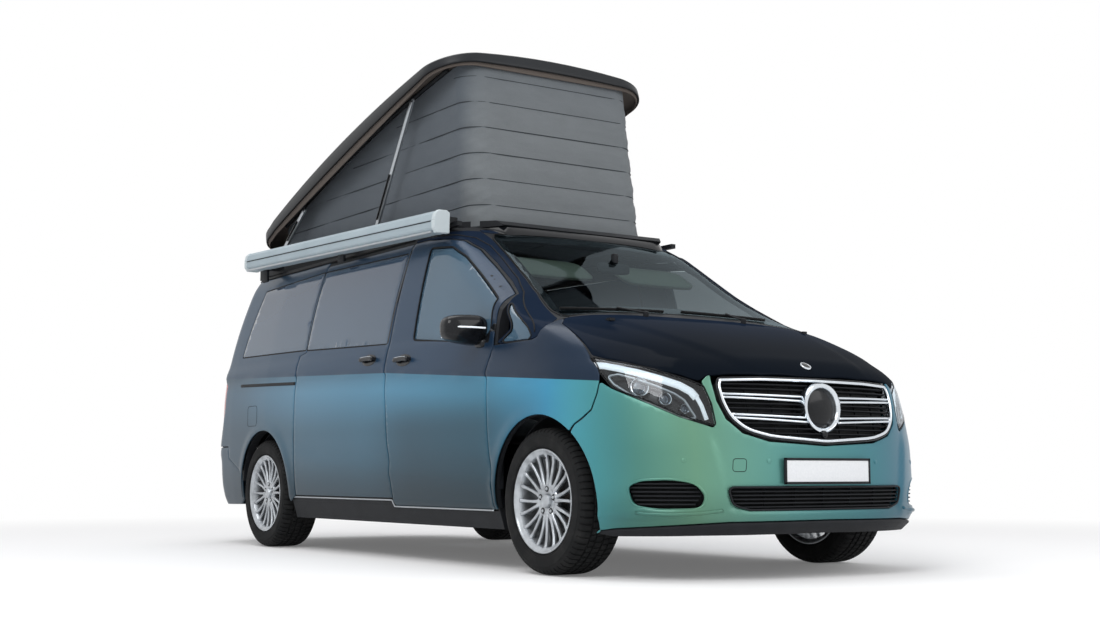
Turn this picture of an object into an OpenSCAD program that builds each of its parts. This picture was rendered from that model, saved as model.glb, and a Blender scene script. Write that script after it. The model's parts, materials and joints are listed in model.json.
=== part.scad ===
// Camper van with a pop-up roof, as an assembly of separate pieces.
// Frame: +X forward, +Y to the van's left, +Z up, origin on the ground at mid-length.

/* [Body] */
// Length over both bumpers
body_length = 5140; // [4600:10:5600]
// Width of the body without the mirrors
body_width = 1928; // [1800:2:2050]
// Thickness of doors, side walls and roof
wall = 55; // [35:1:70]
// Thickness of wings, bonnet and bumper covers
skin = 18; // [10:1:26]
// Width of the pillars beside the windscreen
pillar = 50; // [40:1:80]
// Gap round the doors, bonnet and tailgate
gap = 6; // [5:0.5:9]
// Joint between fixed panels
seam = 0.6; // [0.3:0.1:0.9]
// Thickness of the window panes
glass = 6; // [4:0.5:8]
// Height of the floor plate over the ground
floor_z = 345; // [330:1:400]
// Thickness of the floor plate
floor_t = 30; // [15:1:40]
// Diameter of the rear tow eye's socket
tow_d = 22; // [16:1:30]
// Place of the tow eye's socket across the van
tow_y = 300; // [-350:10:350]
// Radius of the wheel arch openings
arch_r = 392; // [380:1:410]

/* [Wheels] */
// Distance between the axles
wheelbase = 3200; // [3000:5:3430]
// Front bumper to front axle
front_overhang = 890; // [850:5:950]
// Distance between the wheel centres of one axle
track = 1666; // [1600:2:1700]
// Outer diameter of the tyre
tyre_d = 678; // [640:1:700]
// Width of the tyre
tyre_w = 245; // [205:5:265]
// Diameter of the rim's flange
rim_d = 474; // [430:1:500]
// Number of spokes
spokes = 20; // [10:1:24]
// Width of a spoke
spoke_w = 15; // [8:0.5:18]
// Diameter of the hub's centring spigot
spigot_d = 66; // [56:0.5:72]
// Running clearance of pins, spigots and pivots
fit = 0.3; // [0.2:0.05:0.5]

/* [Roof] */
// Height of the body's roof skin
roof_z = 1800; // [1780:1:1830]
// Length of the lifting roof panel
lid_length = 2890; // [2500:10:3000]
// Half width of the lifting roof panel
lid_half = 745; // [700:1:760]
// Depth of the roof panel's edge
lid_edge = 58; // [45:1:70]
// Rise of the roof panel's crown over its edge
lid_crown = 84; // [50:1:100]
// Rise of the roof panel across its width
lid_camber = 60; // [30:1:80]
// Wall of the roof panel
lid_wall = 22; // [14:1:26]
// Angle of the raised roof panel
lid_open = 15.8; // [10:0.1:16.5]
// Slope of the closed roof panel
lid_rest = -2.6; // [-3:0.1:-2]
// Height of the roof hinge
hinge_z = 1978; // [1960:1:1990]
// Diameter of the roof struts
strut_d = 16; // [10:1:20]
// Length of the awning case
awning_length = 2600; // [2000:10:2700]
// Height of the awning case
awning_h = 118; // [90:1:130]
// Depth of the awning case
awning_w = 92; // [70:1:100]

/* [Cabin] */
// Width of a front seat
seat_w = 520; // [440:5:560]
// Diameter of the steering wheel
wheel_d = 380; // [340:5:400]
// Width of the kitchen unit
unit_w = 330; // [250:5:360]
// Length of the kitchen unit
unit_l = 1240; // [1000:10:1240]

/* [Hidden] */

// ---- scale of the body's surface against the sizes it was drawn at
kx = body_length / 5140;
ky = body_width / 1928;
nose_x = body_length / 2;
axle_f = nose_x - front_overhang;
axle_r = axle_f - wheelbase;
axle_z = tyre_d / 2;
wheel_y = track / 2;

// ---- body surface: profiles against height [height, value]
FRONT = [[190, 2490], [240, 2552], [300, 2562], [440, 2570], [560, 2566], [700, 2542], [860, 2500], [915, 2472],
    [960, 2415], [1010, 2300], [1100, 2060], [1180, 1830], [1252, 1600], [1776, 689], [1800, 640]];
DEPTH = [[190, 850], [560, 915], [860, 900], [960, 850], [1050, 700], [1180, 480], [1252, 420], [1776, 420], [1800, 420]];
POWER = [[190, 2.9], [560, 2.8], [860, 2.7], [960, 2.6], [1100, 3], [1252, 3], [1776, 3.2], [1800, 3.2]];
WIDTH = [[190, 900], [240, 915], [320, 938], [500, 957], [700, 964], [900, 963], [1010, 957], [1100, 948],
    [1190, 934], [1400, 894], [1600, 845], [1700, 815], [1776, 775], [1800, 760]];
REAR = [[190, -2470], [300, -2545], [420, -2570], [640, -2568], [760, -2540], [1000, -2530], [1200, -2508],
    [1400, -2465], [1600, -2405], [1776, -2335], [1800, -2320]];
// share of the half width towards the rear [x, share]
NARROW = [[-2570, 0.955], [-2100, 0.978], [-1500, 0.995], [-900, 1], [2600, 1]];
LEVELS = [190, 215, 240, 300, 400, 520, 640, 760, 860, 915, 940, 960, 985, 1010, 1050, 1100, 1140, 1180, 1216, 1252,
    1330, 1420, 1510, 1600, 1700, 1745, 1776, 1800];
REAR_DEPTH = 300;
REAR_POWER = 2.4;

// smooth curve through points, without overshoot
function span(t, p, i = 0) = (i >= len(p) - 2 || t < p[i + 1][0]) ? i : span(t, p, i + 1);
function rise(p, i) = (p[i + 1][1] - p[i][1]) / (p[i + 1][0] - p[i][0]);
function slope(p, i) = i == 0 ? rise(p, 0) : i == len(p) - 1 ? rise(p, i - 1)
    : rise(p, i - 1) * rise(p, i) <= 0 ? 0
    : let(a = p[i][0] - p[i - 1][0], b = p[i + 1][0] - p[i][0])
      (3 * (a + b)) / ((2 * b + a) / rise(p, i - 1) + (b + 2 * a) / rise(p, i));
function curve(u, p) = let(t = min(max(u, p[0][0]), p[len(p) - 1][0]), i = span(t, p), h = p[i + 1][0] - p[i][0],
    s = (t - p[i][0]) / h)
    (2 * s ^ 3 - 3 * s ^ 2 + 1) * p[i][1] + (s ^ 3 - 2 * s ^ 2 + s) * h * slope(p, i)
    + (3 * s ^ 2 - 2 * s ^ 3) * p[i + 1][1] + (s ^ 3 - s ^ 2) * h * slope(p, i + 1);
function half(x, z) = ky * curve(z, WIDTH) * lookup(x / kx, NARROW);

// one side of a plan outline at height z, inset by t, from the nose round to the tail
function side(z, t) = let(a = kx * curve(z, DEPTH), p = curve(z, POWER), xf = kx * curve(z, FRONT) - a,
    b = kx * REAR_DEPTH, xr = kx * curve(z, REAR) + b)
    concat([for (q = [0:9:90]) let(x = xf + (a - t) * cos(q) ^ (2 / p))
            [x, (half(x, z) - t) * sin(q) ^ (2 / p)]],
        [for (k = [1:5]) let(x = xf + (xr - xf) * k / 6) [x, half(x, z) - t]],
        [for (q = [90:-15:0]) let(x = xr - (b - t) * cos(q) ^ (2 / REAR_POWER))
            [x, (half(x, z) - t) * sin(q) ^ (2 / REAR_POWER)]]);
function plan(z, t) = let(s = side(z, t), n = len(s))
    concat(s, [for (i = [n - 2:-1:1]) [s[i][0], -s[i][1]]]);
// solid inside the body's surface, inset by t, with top at z = top
module hull_body(t, top = roof_z) {
    zs = concat([for (z = LEVELS) if (z < 1800) z + (z == 190 ? -1 * 0 : 0)], [1800]);
    rings = [for (z = zs) [for (p = plan(z, t)) [p[0], p[1], z == 1800 ? top : z]]];
    n = len(rings[0]);
    m = len(rings);
    polyhedron([for (r = rings) each r],
        concat([[for (i = [0:n - 1]) i]], [[for (i = [n - 1:-1:0]) (m - 1) * n + i]],
            [for (j = [0:m - 2]) for (i = [0:n - 1]) let(k = (i + 1) % n)
                each [[j * n + i, (j + 1) * n + i, (j + 1) * n + k], [j * n + i, (j + 1) * n + k, j * n + k]]]));
}
module shell(t = wall, out = 0) difference() {
    hull_body(out);
    translate([0, 0, -0.01]) hull_body(out + t, roof_z - t);
}
// evaluates its children as one mesh
module meshed() resize([0, 0, 0]) children();
// a side-view outline [x, z] pushed through one side (s = 1 left, -1 right) or both (0)
module through_side(s, pts, d = 0, inner = 500) {
    for (k = s == 0 ? [-1, 1] : [s])
        translate([0, k > 0 ? 1300 : -inner, 0]) rotate([90, 0, 0]) linear_extrude(1300 - inner)
            offset(delta = d) polygon([for (p = pts) [p[0] * kx, p[1]]]);
}
// a front-view outline [y, z] pushed along x from a to b
module through_front(pts, a, b, d = 0) translate([a, 0, 0]) rotate([90, 0, 90]) linear_extrude(b - a)
    offset(delta = d) polygon([for (p = pts) [p[0] * ky, p[1]]]);
module both() { children(); mirror([0, 1, 0]) children(); }
module at_left(s) mirror([0, s < 0 ? 1 : 0, 0]) children();

body_paint = "#2f6f80";
dark = "#15181c";
grey = "#7b8085";

// ---- outlines of the openings, side view [x, z]
DOOR = [[228, 290], [142, 1019], [150, 1171], [172, 1740], [330, 1738], [560, 1716], [656, 1698], [793, 1634], [939, 1542],
    [1120, 1425], [1236, 1352], [1262, 1086], [1211, 959], [1228, 700], [1263, 337], [1266, 290]];
DOOR_PANE = [[418, 1176], [398, 1684], [620, 1666], [770, 1596], [920, 1502], [1060, 1412], [1192, 1328], [1220, 1104],
    [1080, 1114]];
QUARTER_PANE = [[1290, 1092], [1276, 1310], [1480, 1186], [1584, 1108], [1560, 1090]];
SLIDER = [[-1044, 330], [-1040, 1186], [-948, 1204], [-938, 1740], [166, 1740], [144, 1171], [136, 1019], [222, 330]];
PANE_1 = [[-918, 1212], [-908, 1702], [150, 1684], [113, 1171]];
PANE_2 = [[-2027, 1236], [-1868, 1676], [-968, 1706], [-978, 1214]];
WING = [[1268, 300], [1263, 337], [1228, 700], [1211, 959], [1262, 1060], [1500, 1085], [1690, 1075],
    [1700, 1195], [2700, 1195], [2700, 905], [2020, 905], [2040, 745], [1990, 480], [1990, 300]];

// ---- headlight outline in a plane turned 40 degrees to the nose [across, z]
LAMP = [[597, 982], [822, 940], [1042, 871], [1103, 846], [1137, 770], [1160, 668], [998, 717], [868, 775], [698, 845]];
module lamp_prism(d) intersection() {
    rotate([0, 0, -40]) translate([1400, 0, 0]) rotate([90, 0, 90]) linear_extrude(1900) offset(delta = d)
        polygon([for (p = LAMP) [p[0], p[1]]]);
    translate([1500, -1200, 500]) cube([1300, 800, 700]);
}
GRILLE = [[0, 598], [260, 606], [400, 640], [485, 690], [528, 770], [530, 850], [500, 872], [320, 880], [0, 882]];
LOWER = [[-520, 412], [-500, 318], [-420, 300], [420, 300], [500, 318], [520, 412]];
INTAKE = [[700, 410], [745, 440], [800, 448], [862, 420], [856, 330], [800, 312], [655, 318], [640, 352]];
BONNET = [[1706, -800], [1706, 800], [1900, 812], [2150, 762], [2330, 660], [2440, 545], [2700, 500], [2700, -500],
    [2440, -545], [2330, -660], [2150, -762], [1900, -812]];
SCREEN = [[0, 1268], [400, 1258], [640, 1238], [790, 1214], [698, 1353], [667, 1448], [652, 1544], [648, 1622], [634, 1712],
    [600, 1742], [0, 1760]];
GATE = [[0, 645], [740, 645], [790, 720], [800, 1010], [775, 1300], [690, 1722], [640, 1736], [0, 1744]];
GATE_PANE = [[0, 1120], [690, 1130], [720, 1180], [640, 1620], [600, 1650], [0, 1660]];
TAIL = [[-1880, 296], [-1900, 410], [-2140, 560], [-2150, 640], [-2800, 640], [-2800, 296]];
function sym(p) = concat(p, [for (i = [len(p) - 1:-1:0]) [-p[i][0], p[i][1]]]);

bonnet_cut_z = 905;
module bonnet_zone(d) translate([0, 0, bonnet_cut_z - d]) linear_extrude(400) offset(delta = d)
    polygon([for (p = BONNET) [p[0] * kx, p[1] * ky]]);
module arches(r, inner = 500) both() for (x = [axle_f, axle_r])
    translate([x, inner, axle_z + 6]) rotate([-90, 0, 0]) cylinder(r = r, h = 900, $fn = 64);
module screen_zone(d) through_front(sym(SCREEN), 300, 1700 * kx, d);
module gate_zone(d) through_front(sym(GATE), -2800 * kx, -2180 * kx, d);
module wing_zone(s) through_side(s, WING);

// ---- hinges of the front doors
door_x = 1262 * kx;
door_y = half(door_x, 700) - 14;
door_hinges = [430, 620];
module door_knuckles() for (z = door_hinges) {
    difference() {
        union() {
            translate([door_x, door_y, z]) cylinder(r = 7, h = 40, $fn = 32);
            translate([door_x - 46, door_y - 4, z]) cube([46, 8, 40]);
        }
        translate([door_x, door_y, z - 1]) cylinder(r = 3 + fit, h = 42, $fn = 32);
    }
}
module door_pins() for (z = door_hinges) translate([door_x, door_y, z - 12]) cylinder(r = 3, h = 64, $fn = 32);
module door_notch() for (z = door_hinges) translate([0, 0, z - 5]) hull() {
    translate([door_x, door_y, 0]) cylinder(r = 13, h = 50, $fn = 24);
    translate([door_x - 60, door_y - 20, 0]) cube([60, 60, 50]);
}

module pillar_zone(d) screen_zone(pillar - d);
module door_zone(s, d, inner) difference() {
    through_side(s, DOOR, d, inner);
    pillar_zone(d);
}
module body_shell() color(dark) {
    meshed() difference() {
        shell();
        translate([0, 0, 150]) linear_extrude(150) square([6000, 3000], center = true);
        door_zone(0, gap / 2, 600);
        through_side(-1, SLIDER, seam / 2, 600);
        through_side(0, QUARTER_PANE, 0, 600);
        through_side(0, PANE_2, 0, 600);
        through_side(1, PANE_1, 0, 600);
        screen_zone(0);
        gate_zone(gap);
        translate([-2700 * kx, -650, 1740]) cube([500 * kx, 1300, 14]);
        bonnet_zone(gap);
        translate([1640 * kx, -812 * ky, 1165]) cube([80, 1624 * ky, 200]);
        through_side(0, WING, seam, 0);
        translate([1990 * kx - seam, -1200, 0]) cube([900, 2400, 1195]);
        through_side(0, TAIL, seam, 0);
        arches(arch_r);
        lamps_cut();
        translate([-1900, -560, roof_z - 200]) cube([2350, 1120, 400]);
    }
    // cowl plate with the bonnet's hinge lugs
    translate([1590 * kx, -770 * ky, 1130]) cube([bonnet_x + 12 - 1590 * kx, 1540 * ky, 34]);
    both() for (y = [588, 644]) translate([bonnet_x - 12, y, 1160]) cube([13, 8, bonnet_z - 1160 + 3.1]);
    both() translate([bonnet_x, 590, bonnet_z]) rotate([-90, 0, 0]) cylinder(r = 3, h = 60, $fn = 32);
    both() gate_lug();
}
module lamps_cut() both() through_front([[800, 750], [1000, 750], [1000, 1092], [812, 1092]], -2600 * kx, -2360 * kx, seam / 2);

rail_z = floor_z - floor_t - 80;
pad_h = 12;
module floor_pan() color(grey) {
    difference() {
        translate([0, 0, floor_z - floor_t]) linear_extrude(floor_t) polygon([for (p = [[-2330, -680], [-2200, -790], [-1900, -840],
            [1330, -850], [1330, 850], [-1900, 840], [-2200, 790], [-2330, 680]]) [p[0] * kx, p[1] * ky]]);
        arches(arch_r + 10 + fit, 490 - fit);
    }
    // frame rails and cross members
    both() translate([-2440 * kx, 400, rail_z]) cube([4820 * kx, 70, 80]);
    difference() {
        for (x = [-2440, -600, 500, 2310]) translate([x * kx, -400, rail_z]) cube([70, 800, 60]);
        translate([-2440 * kx - 1, tow_y, rail_z + 30]) rotate([0, 90, 0]) cylinder(d = tow_d, h = 72, $fn = 48);
    }
    translate([1325 * kx, -480, floor_z - floor_t]) cube([25 * kx, 960, floor_t]);
    // jacking pads
    both() for (x = [-1000, 1150]) translate([x * kx, 770, floor_z - floor_t - pad_h]) cylinder(d = 60, h = pad_h + 1, $fn = 48);
}
// toe board and bulkhead up to the cowl
module bulkhead() color(grey) {
    translate([0, 480, 0]) rotate([90, 0, 0]) linear_extrude(960) polygon([[1325 * kx, floor_z],
        [1500 * kx, 520], [1500 * kx, 1130], [1515 * kx, 1130], [1515 * kx, 514], [1346 * kx, floor_z]]);
    translate([1500 * kx, -480, 1115]) cube([100 * kx, 960, 14.7]);
}

module arch_liners() color(dark) both() for (x = [axle_f, axle_r]) difference() {
    translate([x, 490, axle_z + 6]) rotate([-90, 0, 0]) cylinder(r = arch_r + 10, h = 372 * ky, $fn = 64);
    translate([x, 500, axle_z + 6]) rotate([-90, 0, 0]) cylinder(r = arch_r, h = 500, $fn = 64);
    translate([x - 600, 400, -200]) cube([1200, 900, floor_z - floor_t + 200]);
}

module side_sills() color(dark) meshed() difference() {
    intersection() {
        shell(60, 2);
        translate([axle_r + arch_r + 4, -1200, 196]) cube([wheelbase - 2 * arch_r - 8, 2400, 290 - 196 - seam + 10]);
    }
    through_side(0, DOOR, gap, 600);
}

module wing(s) color(body_paint) {
    meshed() difference() {
        intersection() {
            shell(skin);
            through_side(s, WING, 0, 0);
        }
        arches(arch_r);
        bonnet_zone(gap);
        through_side(0, QUARTER_PANE, seam, 600);
        at_left(-1) mirror([0, 0, 0]) lamp_prism(seam);
        lamp_prism(seam);
        at_left(s) door_notch();
        translate([1990 * kx + seam, -1200, 0]) cube([900, 2400, 905]);
    }
    at_left(s) {
        difference() {
            translate([door_x + 1, door_y - 34, door_hinges[0] - 40]) cube([34, 26, door_hinges[1] + 110 - door_hinges[0]]);
            for (z = door_hinges) translate([door_x - 40, door_y - 40, z - 5]) cube([60, 60, 50]);
        }
        door_pins();
    }
}
module front_fenders() { wing(1); wing(-1); }

module front_bumper() color("#3f9c8c") meshed() difference() {
    intersection() {
        shell(skin);
        translate([1990 * kx + seam, -1200, 190]) cube([900, 2400, 905 - 190 - seam]);
    }
    bonnet_zone(seam);
    lamp_prism(seam);
    mirror([0, 1, 0]) lamp_prism(seam);
    through_front(sym(GRILLE), 2200 * kx, 2700 * kx, seam);
    through_front(LOWER, 2200 * kx, 2700 * kx, seam);
    both() through_front(INTAKE, 2100 * kx, 2700 * kx, seam);
    arches(arch_r);
    plate_pocket();
}

carrier_x = 2380 * kx + fit;
module front_carrier() color(dark) {
    difference() {
        translate([carrier_x, -470, rail_z]) cube([36, 940, 525]);
        translate([carrier_x - 10, -400, floor_z - 20]) cube([60, 800, 150]);
        translate([carrier_x - 10, -400, floor_z + 200]) cube([60, 800, 200]);
    }
    translate([carrier_x + 30, -420, 500]) cube([64, 840, 30]);
}

module grilles() {
    upper_grille();
    lower_grilles();
}
module upper_grille() color(dark) meshed() union() {
    difference() {
        intersection() { shell(skin + 20, 6); through_front(sym(GRILLE), 2200 * kx, 2700 * kx); }
        through_front(sym(GRILLE), 2200 * kx, 2700 * kx, -26);
    }
    intersection() {
        shell(40, 14);
        through_front(sym(GRILLE), 2200 * kx, 2700 * kx, -20);
        union() for (z = [640:24:880]) translate([2200, -600, z]) cube([500, 1200, 10]);
    }
    intersection() {
        shell(46, 4);
        through_front(sym(GRILLE), 2200 * kx, 2700 * kx, -20);
        union() for (z = [700, 792]) translate([2200, -600, z]) cube([500, 1200, 34]);
    }
    translate([2440 * kx, 0, 756]) rotate([0, 90, 0]) cylinder(d = 190, h = 104 * kx, $fn = 40);
}
module lower_grilles() color(dark) meshed() {
    difference() {
        intersection() { shell(30, 16); through_front(LOWER, 2200 * kx, 2700 * kx); }
        for (z = [312:19:400]) translate([2200, -495, z]) cube([500, 990, 11]);
    }
    both() difference() {
        intersection() { shell(30, 16); through_front(INTAKE, 2100 * kx, 2700 * kx); }
        for (z = [334:22:420]) translate([2100, 670, z]) cube([500, 160, 12]);
    }
}
module headlights() color("#c9d3d8") meshed() both() mirror([0, 1, 0]) intersection() {
    shell(70, 1);
    lamp_prism(0);
}

// ---- bonnet hinge
bonnet_x = 1700 * kx;
bonnet_z = 1190;
module bonnet() color("#1d2430") {
    meshed() difference() {
        intersection() { shell(skin + 4); bonnet_zone(0); }
        translate([0, -1200, 1100]) cube([1706 * kx, 2400, 300]);
        lamp_prism(gap);
        mirror([0, 1, 0]) lamp_prism(gap);
    }
    both() bonnet_arm();
}
module bonnet_arm() difference() {
    union() {
        translate([bonnet_x, 600, bonnet_z]) rotate([-90, 0, 0]) cylinder(r = 7, h = 40, $fn = 32);
        translate([bonnet_x, 606, bonnet_z - 5]) cube([90, 28, 9]);
        translate([bonnet_x + 60, 606, bonnet_z]) cube([30, 28, 8]);
    }
    translate([bonnet_x, 599, bonnet_z]) rotate([-90, 0, 0]) cylinder(r = 3 + fit, h = 42, $fn = 32);
}

module windscreen() color("#2a3238") meshed() intersection() {
    shell(glass, 4);
    screen_zone(0);
}

module door(s) color("#2d5d78") {
    meshed() difference() {
        intersection() { shell(); door_zone(s, -gap / 2, 600); }
        through_side(s, DOOR_PANE, 0, 600);
    }
    at_left(s) difference() {
        door_knuckles();
        translate([door_x - 400, door_y - 4.01, 300]) cube([400 - 46, 20, 400]);
    }
}
module front_door_left() door(1);
module front_door_right() door(-1);
module door_pane(s) color("#5c6b74") meshed() intersection() {
    shell(glass, 10);
    through_side(s, DOOR_PANE, 0, 600);
}
module door_glass_left() door_pane(1);
module door_glass_right() door_pane(-1);

module mirror_side(s) color("#0c0e10") at_left(s) {
    hull() {
        translate([1095 * kx, 985, 1105]) cube([110, 10, 130]);
        translate([1110 * kx, 1100, 1120]) cube([80, 22, 110]);
        translate([1175 * kx, 1040, 1165]) sphere(r = 55, $fn = 24);
    }
    meshed() difference() {
        hull() {
            translate([1130 * kx, 900, 1062]) cube([90, 10, 34]);
            translate([1130 * kx, 990, 1075]) cube([60, 20, 29.8]);
        }
        hull_body(-fit);
    }
}
module mirror_left() mirror_side(1);
module mirror_right() mirror_side(-1);

module sliding_door() color("#3b6a80") meshed() difference() {
    intersection() { shell(); through_side(-1, SLIDER, -seam / 2, 600); }
    through_side(-1, PANE_1, 0, 600);
}
module side_windows() color("#48545e") meshed() intersection() {
    shell(glass, 3);
    union() {
        through_side(0, PANE_1, 0, 600);
        through_side(0, PANE_2, 0, 600);
        through_side(0, QUARTER_PANE, 0, 600);
    }
}

// ---- tailgate hinge: pins in two pockets of the gate's top edge, lugs on the roof frame
gate_z = 1738;
gate_x = kx * curve(gate_z, REAR) + 9;
module gate_lug() difference() {
    union() {
        translate([gate_x, 302, gate_z]) rotate([-90, 0, 0]) cylinder(r = 8, h = 36, $fn = 32);
        translate([gate_x, 302, gate_z]) cube([90, 36, 8]);
        translate([gate_x + 66, 302, gate_z]) cube([30, 36, 40]);
    }
    translate([gate_x, 300, gate_z]) rotate([-90, 0, 0]) cylinder(r = 4 + fit, h = 40, $fn = 32);
}
module tailgate() color("#39505e") {
    meshed() difference() {
        intersection() { shell(); gate_zone(0); }
        through_front(sym(GATE_PANE), -2800 * kx, -2100 * kx);
        lamps_gap();
        both() translate([gate_x - 20, 298, gate_z - 16]) cube([140, 44, 60]);
    }
    both() translate([gate_x, 290, gate_z]) rotate([-90, 0, 0]) cylinder(r = 4, h = 60, $fn = 32);
}
module lamps_gap() both() through_front([[790, 742], [1000, 742], [1000, 1100], [790, 1100]], -2800 * kx, -2100 * kx);
module tailgate_glass() color("#2c343c") meshed() intersection() {
    shell(glass, 4);
    through_front(sym(GATE_PANE), -2800 * kx, -2100 * kx);
}
module tail_lamps() color("#8e1c22") meshed() both() intersection() {
    shell(wall, 1);
    through_front([[800, 750], [1000, 750], [1000, 1092], [812, 1092]], -2600 * kx, -2360 * kx);
}
module rear_bumper() color("#34606e") meshed() difference() {
    intersection() {
        shell(60);
        through_side(0, TAIL, 0, 0);
    }
    arches(arch_r + 10 + seam);
}
plate_x = nose_x - 7;
module plate_pocket() translate([plate_x - fit, -266, 414]) cube([60, 532, 124]);
module front_plate() color("#eceef0") translate([plate_x, -260, 420]) cube([6, 520, 112]);
module rear_plate() color("#eceef0") translate([kx * curve(1000, REAR) - 10.6, -260, 890]) cube([6, 520, 112]);

// ---- wheels
module tyre_profile() {
    r = tyre_d / 2;
    b = rim_d / 2;
    w = tyre_w / 2;
    polygon([[b - 16 + fit, -w + 26], [b + 8, -w + 14], [b + 40, -w + 1], [b + 62, -w], [r - 26, -w + 8], [r - 8, -w + 22], [r, -w + 44],
        [r, w - 44], [r - 8, w - 22], [r - 26, w - 8], [b + 62, w], [b + 40, w - 1], [b + 8, w - 14], [b - 16 + fit, w - 26]]);
}
module at_wheel(f, s) translate([f > 0 ? axle_f : axle_r, s * wheel_y, axle_z]) rotate([-90 * s, 0, 0]) children();
module tyre(f, s) color("#17181a") at_wheel(f, s) rotate_extrude($fn = 72) tyre_profile();
module rim(f, s) color("#a8adb2") at_wheel(f, s) {
    b = rim_d / 2;
    w = tyre_w / 2;
    difference() {
        union() {
            rotate_extrude($fn = 72) polygon([[b - 30, -w + 20], [b - 4, -w + 8], [b + 3, -w + 8], [b + 3, -w + 12 - 0], [b - 8, -w + 20],
                [b - 16, -w + 26], [b - 16, w - 26], [b - 8, w - 20], [b + 3, w - 12], [b + 3, w - 8], [b - 4, w - 8], [b - 24, w - 20], [b - 24, -w + 30]]);
            translate([0, 0, w - 62]) cylinder(d = 160, h = 26, $fn = 48);
            translate([0, 0, w - 37]) cylinder(d = 62, h = 14, $fn = 40);
            for (a = [0:spokes - 1]) rotate(a * 360 / spokes) translate([60, -spoke_w / 2, w - 56]) cube([b - 24 - 60 + 4, spoke_w, 30]);
        }
        translate([0, 0, w - 70]) cylinder(d = spigot_d + 2 * fit, h = 20, $fn = 48);
        for (a = [0:4]) rotate(a * 72) translate([56, 0, w - 80]) cylinder(d = 15, h = 60, $fn = 24);
    }
}
module tyre_front_left() tyre(1, 1);
module tyre_front_right() tyre(1, -1);
module tyre_rear_left() tyre(-1, 1);
module tyre_rear_right() tyre(-1, -1);
module rim_front_left() rim(1, 1);
module rim_front_right() rim(1, -1);
module rim_rear_left() rim(-1, 1);
module rim_rear_right() rim(-1, -1);

king_y = wheel_y - 40;
hub_face = tyre_w / 2 - 62;
module hub(f, s) at_wheel(f, s) {
    translate([0, 0, -30]) cylinder(d = 150, h = hub_face + 30 - fit, $fn = 48);
    translate([0, 0, hub_face - 1]) cylinder(d = spigot_d, h = 9, $fn = 48);
    translate([0, 0, hub_face - 50]) cylinder(d = 300, h = 24, $fn = 48);
}
module knuckle(s) color(grey) {
    hub(1, s);
    at_left(s) translate([axle_f, king_y - 30, axle_z - 140]) {
        cylinder(d = 40, h = 280, $fn = 32);
        translate([-20, 0, 110]) cube([40, 40, 60]);
    }
}
module knuckle_left() knuckle(1);
module knuckle_right() knuckle(-1);
module front_axle() color("#4a4e52") {
    both() {
        // lower arm under the knuckle, upper arm over it and the suspension tower
        translate([axle_f - 50, 330, axle_z - 140 - fit - 24]) cube([100, king_y - 330, 24]);
        translate([axle_f - 30, 580, axle_z + 140 + fit]) cube([60, king_y - 580, 20]);
        translate([axle_f, 600, axle_z + 140 + fit]) cylinder(r = 30, h = arch_r - 140 - 4, $fn = 32);
    }
    translate([axle_f - 150, -400, axle_z - 164]) cube([300, 800, rail_z - fit - axle_z + 164]);
}
module rear_axle() color("#4a4e52") {
    both() {
        hub(-1, 1);
        translate([axle_r - 45, wheel_y - 75, axle_z - 154]) cube([90, 50, 200]);
        translate([axle_r, 560, axle_z - 154]) cube([500, 50, 45]);
        translate([axle_r + 455, 560, axle_z - 154]) cube([45, 50, floor_z - floor_t - fit - axle_z + 154]);
    }
    translate([axle_r - 45, -wheel_y + 26, axle_z - 154]) cube([90, 2 * wheel_y - 52, rail_z - fit - axle_z + 154]);
}
module engine_block() color("#5b5f63") {
    translate([1720 * kx, -330, rail_z + 15]) cube([560, 660, 530]);
    both() translate([1900 * kx, 329, rail_z + 20]) cube([100, 71 - fit, 50]);
}
module fuel_tank() color("#2b2e31") translate([-300 * kx, -380, floor_z - floor_t - 150]) cube([760, 360, 149.5]);
module exhaust() color("#8a8d90") {
    translate([-1300 * kx, 150, floor_z - floor_t - 130]) cube([600, 220, 129.5]);
}

wheel_at = [1010 * kx, 400, 1005];
wheel_tilt = -65;
module column(r, l = 260) translate(wheel_at) rotate([0, wheel_tilt, 0]) translate([0, 0, -l]) cylinder(r = r, h = l, $fn = 32);
module dashboard() color("#23262a") difference() {
    union() {
        translate([1180 * kx, -760, 860]) cube([319 * kx, 1520, 230]);
        translate([1270 * kx, -180, floor_z]) cube([50 * kx, 360, 860 - floor_z]);
        translate([1270 * kx, -180, 560]) cube([200 * kx, 360, 300]);
    }
    column(26, 264);
}
module steering_wheel() color("#17191c") {
    translate(wheel_at) rotate([0, wheel_tilt, 0]) {
        rotate_extrude($fn = 48) translate([wheel_d / 2 - 15, 0]) circle(r = 15, $fn = 24);
        translate([-wheel_d / 2 + 20, -20, -8]) cube([wheel_d - 40, 40, 14]);
        cylinder(d = 110, h = 30, center = true, $fn = 32);
    }
    column(25);
}
seat_y = 330;
seat_h = 640;
module front_seats() color("#3a3d42") both() meshed() {
    translate([420 * kx, seat_y + 60, floor_z]) cube([380, seat_w - 130, 270]);
    translate([360 * kx, seat_y, floor_z + 260]) cube([540, seat_w - 20, 150]);
    translate([330 * kx, seat_y + 10, floor_z + 300]) rotate([0, -12, 0]) {
        cube([130, seat_w - 40, seat_h]);
        translate([15, seat_w / 2 - 140, seat_h - 10]) cube([95, 240, 210]);
    }
}
module rear_bench() color("#3f4247") meshed() {
    translate([-1100 * kx, -780, floor_z]) cube([560, 1180, 270]);
    translate([-1100 * kx, -780, floor_z + 260]) cube([600, 1180, 150]);
    translate([-1120 * kx, -780, floor_z + 300]) rotate([0, -8, 0]) cube([130, 1180, 720]);
    // bed board over the wheel housings
    translate([-2230 * kx, -820 * ky, axle_z + 6 + arch_r + 10.3]) cube([1020 * kx, 1640 * ky, 30]);
}
module kitchen_unit() color("#b9b4aa") translate([-1110 * kx, 830 - unit_w, floor_z]) cube([unit_l, unit_w, 780]);

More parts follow.
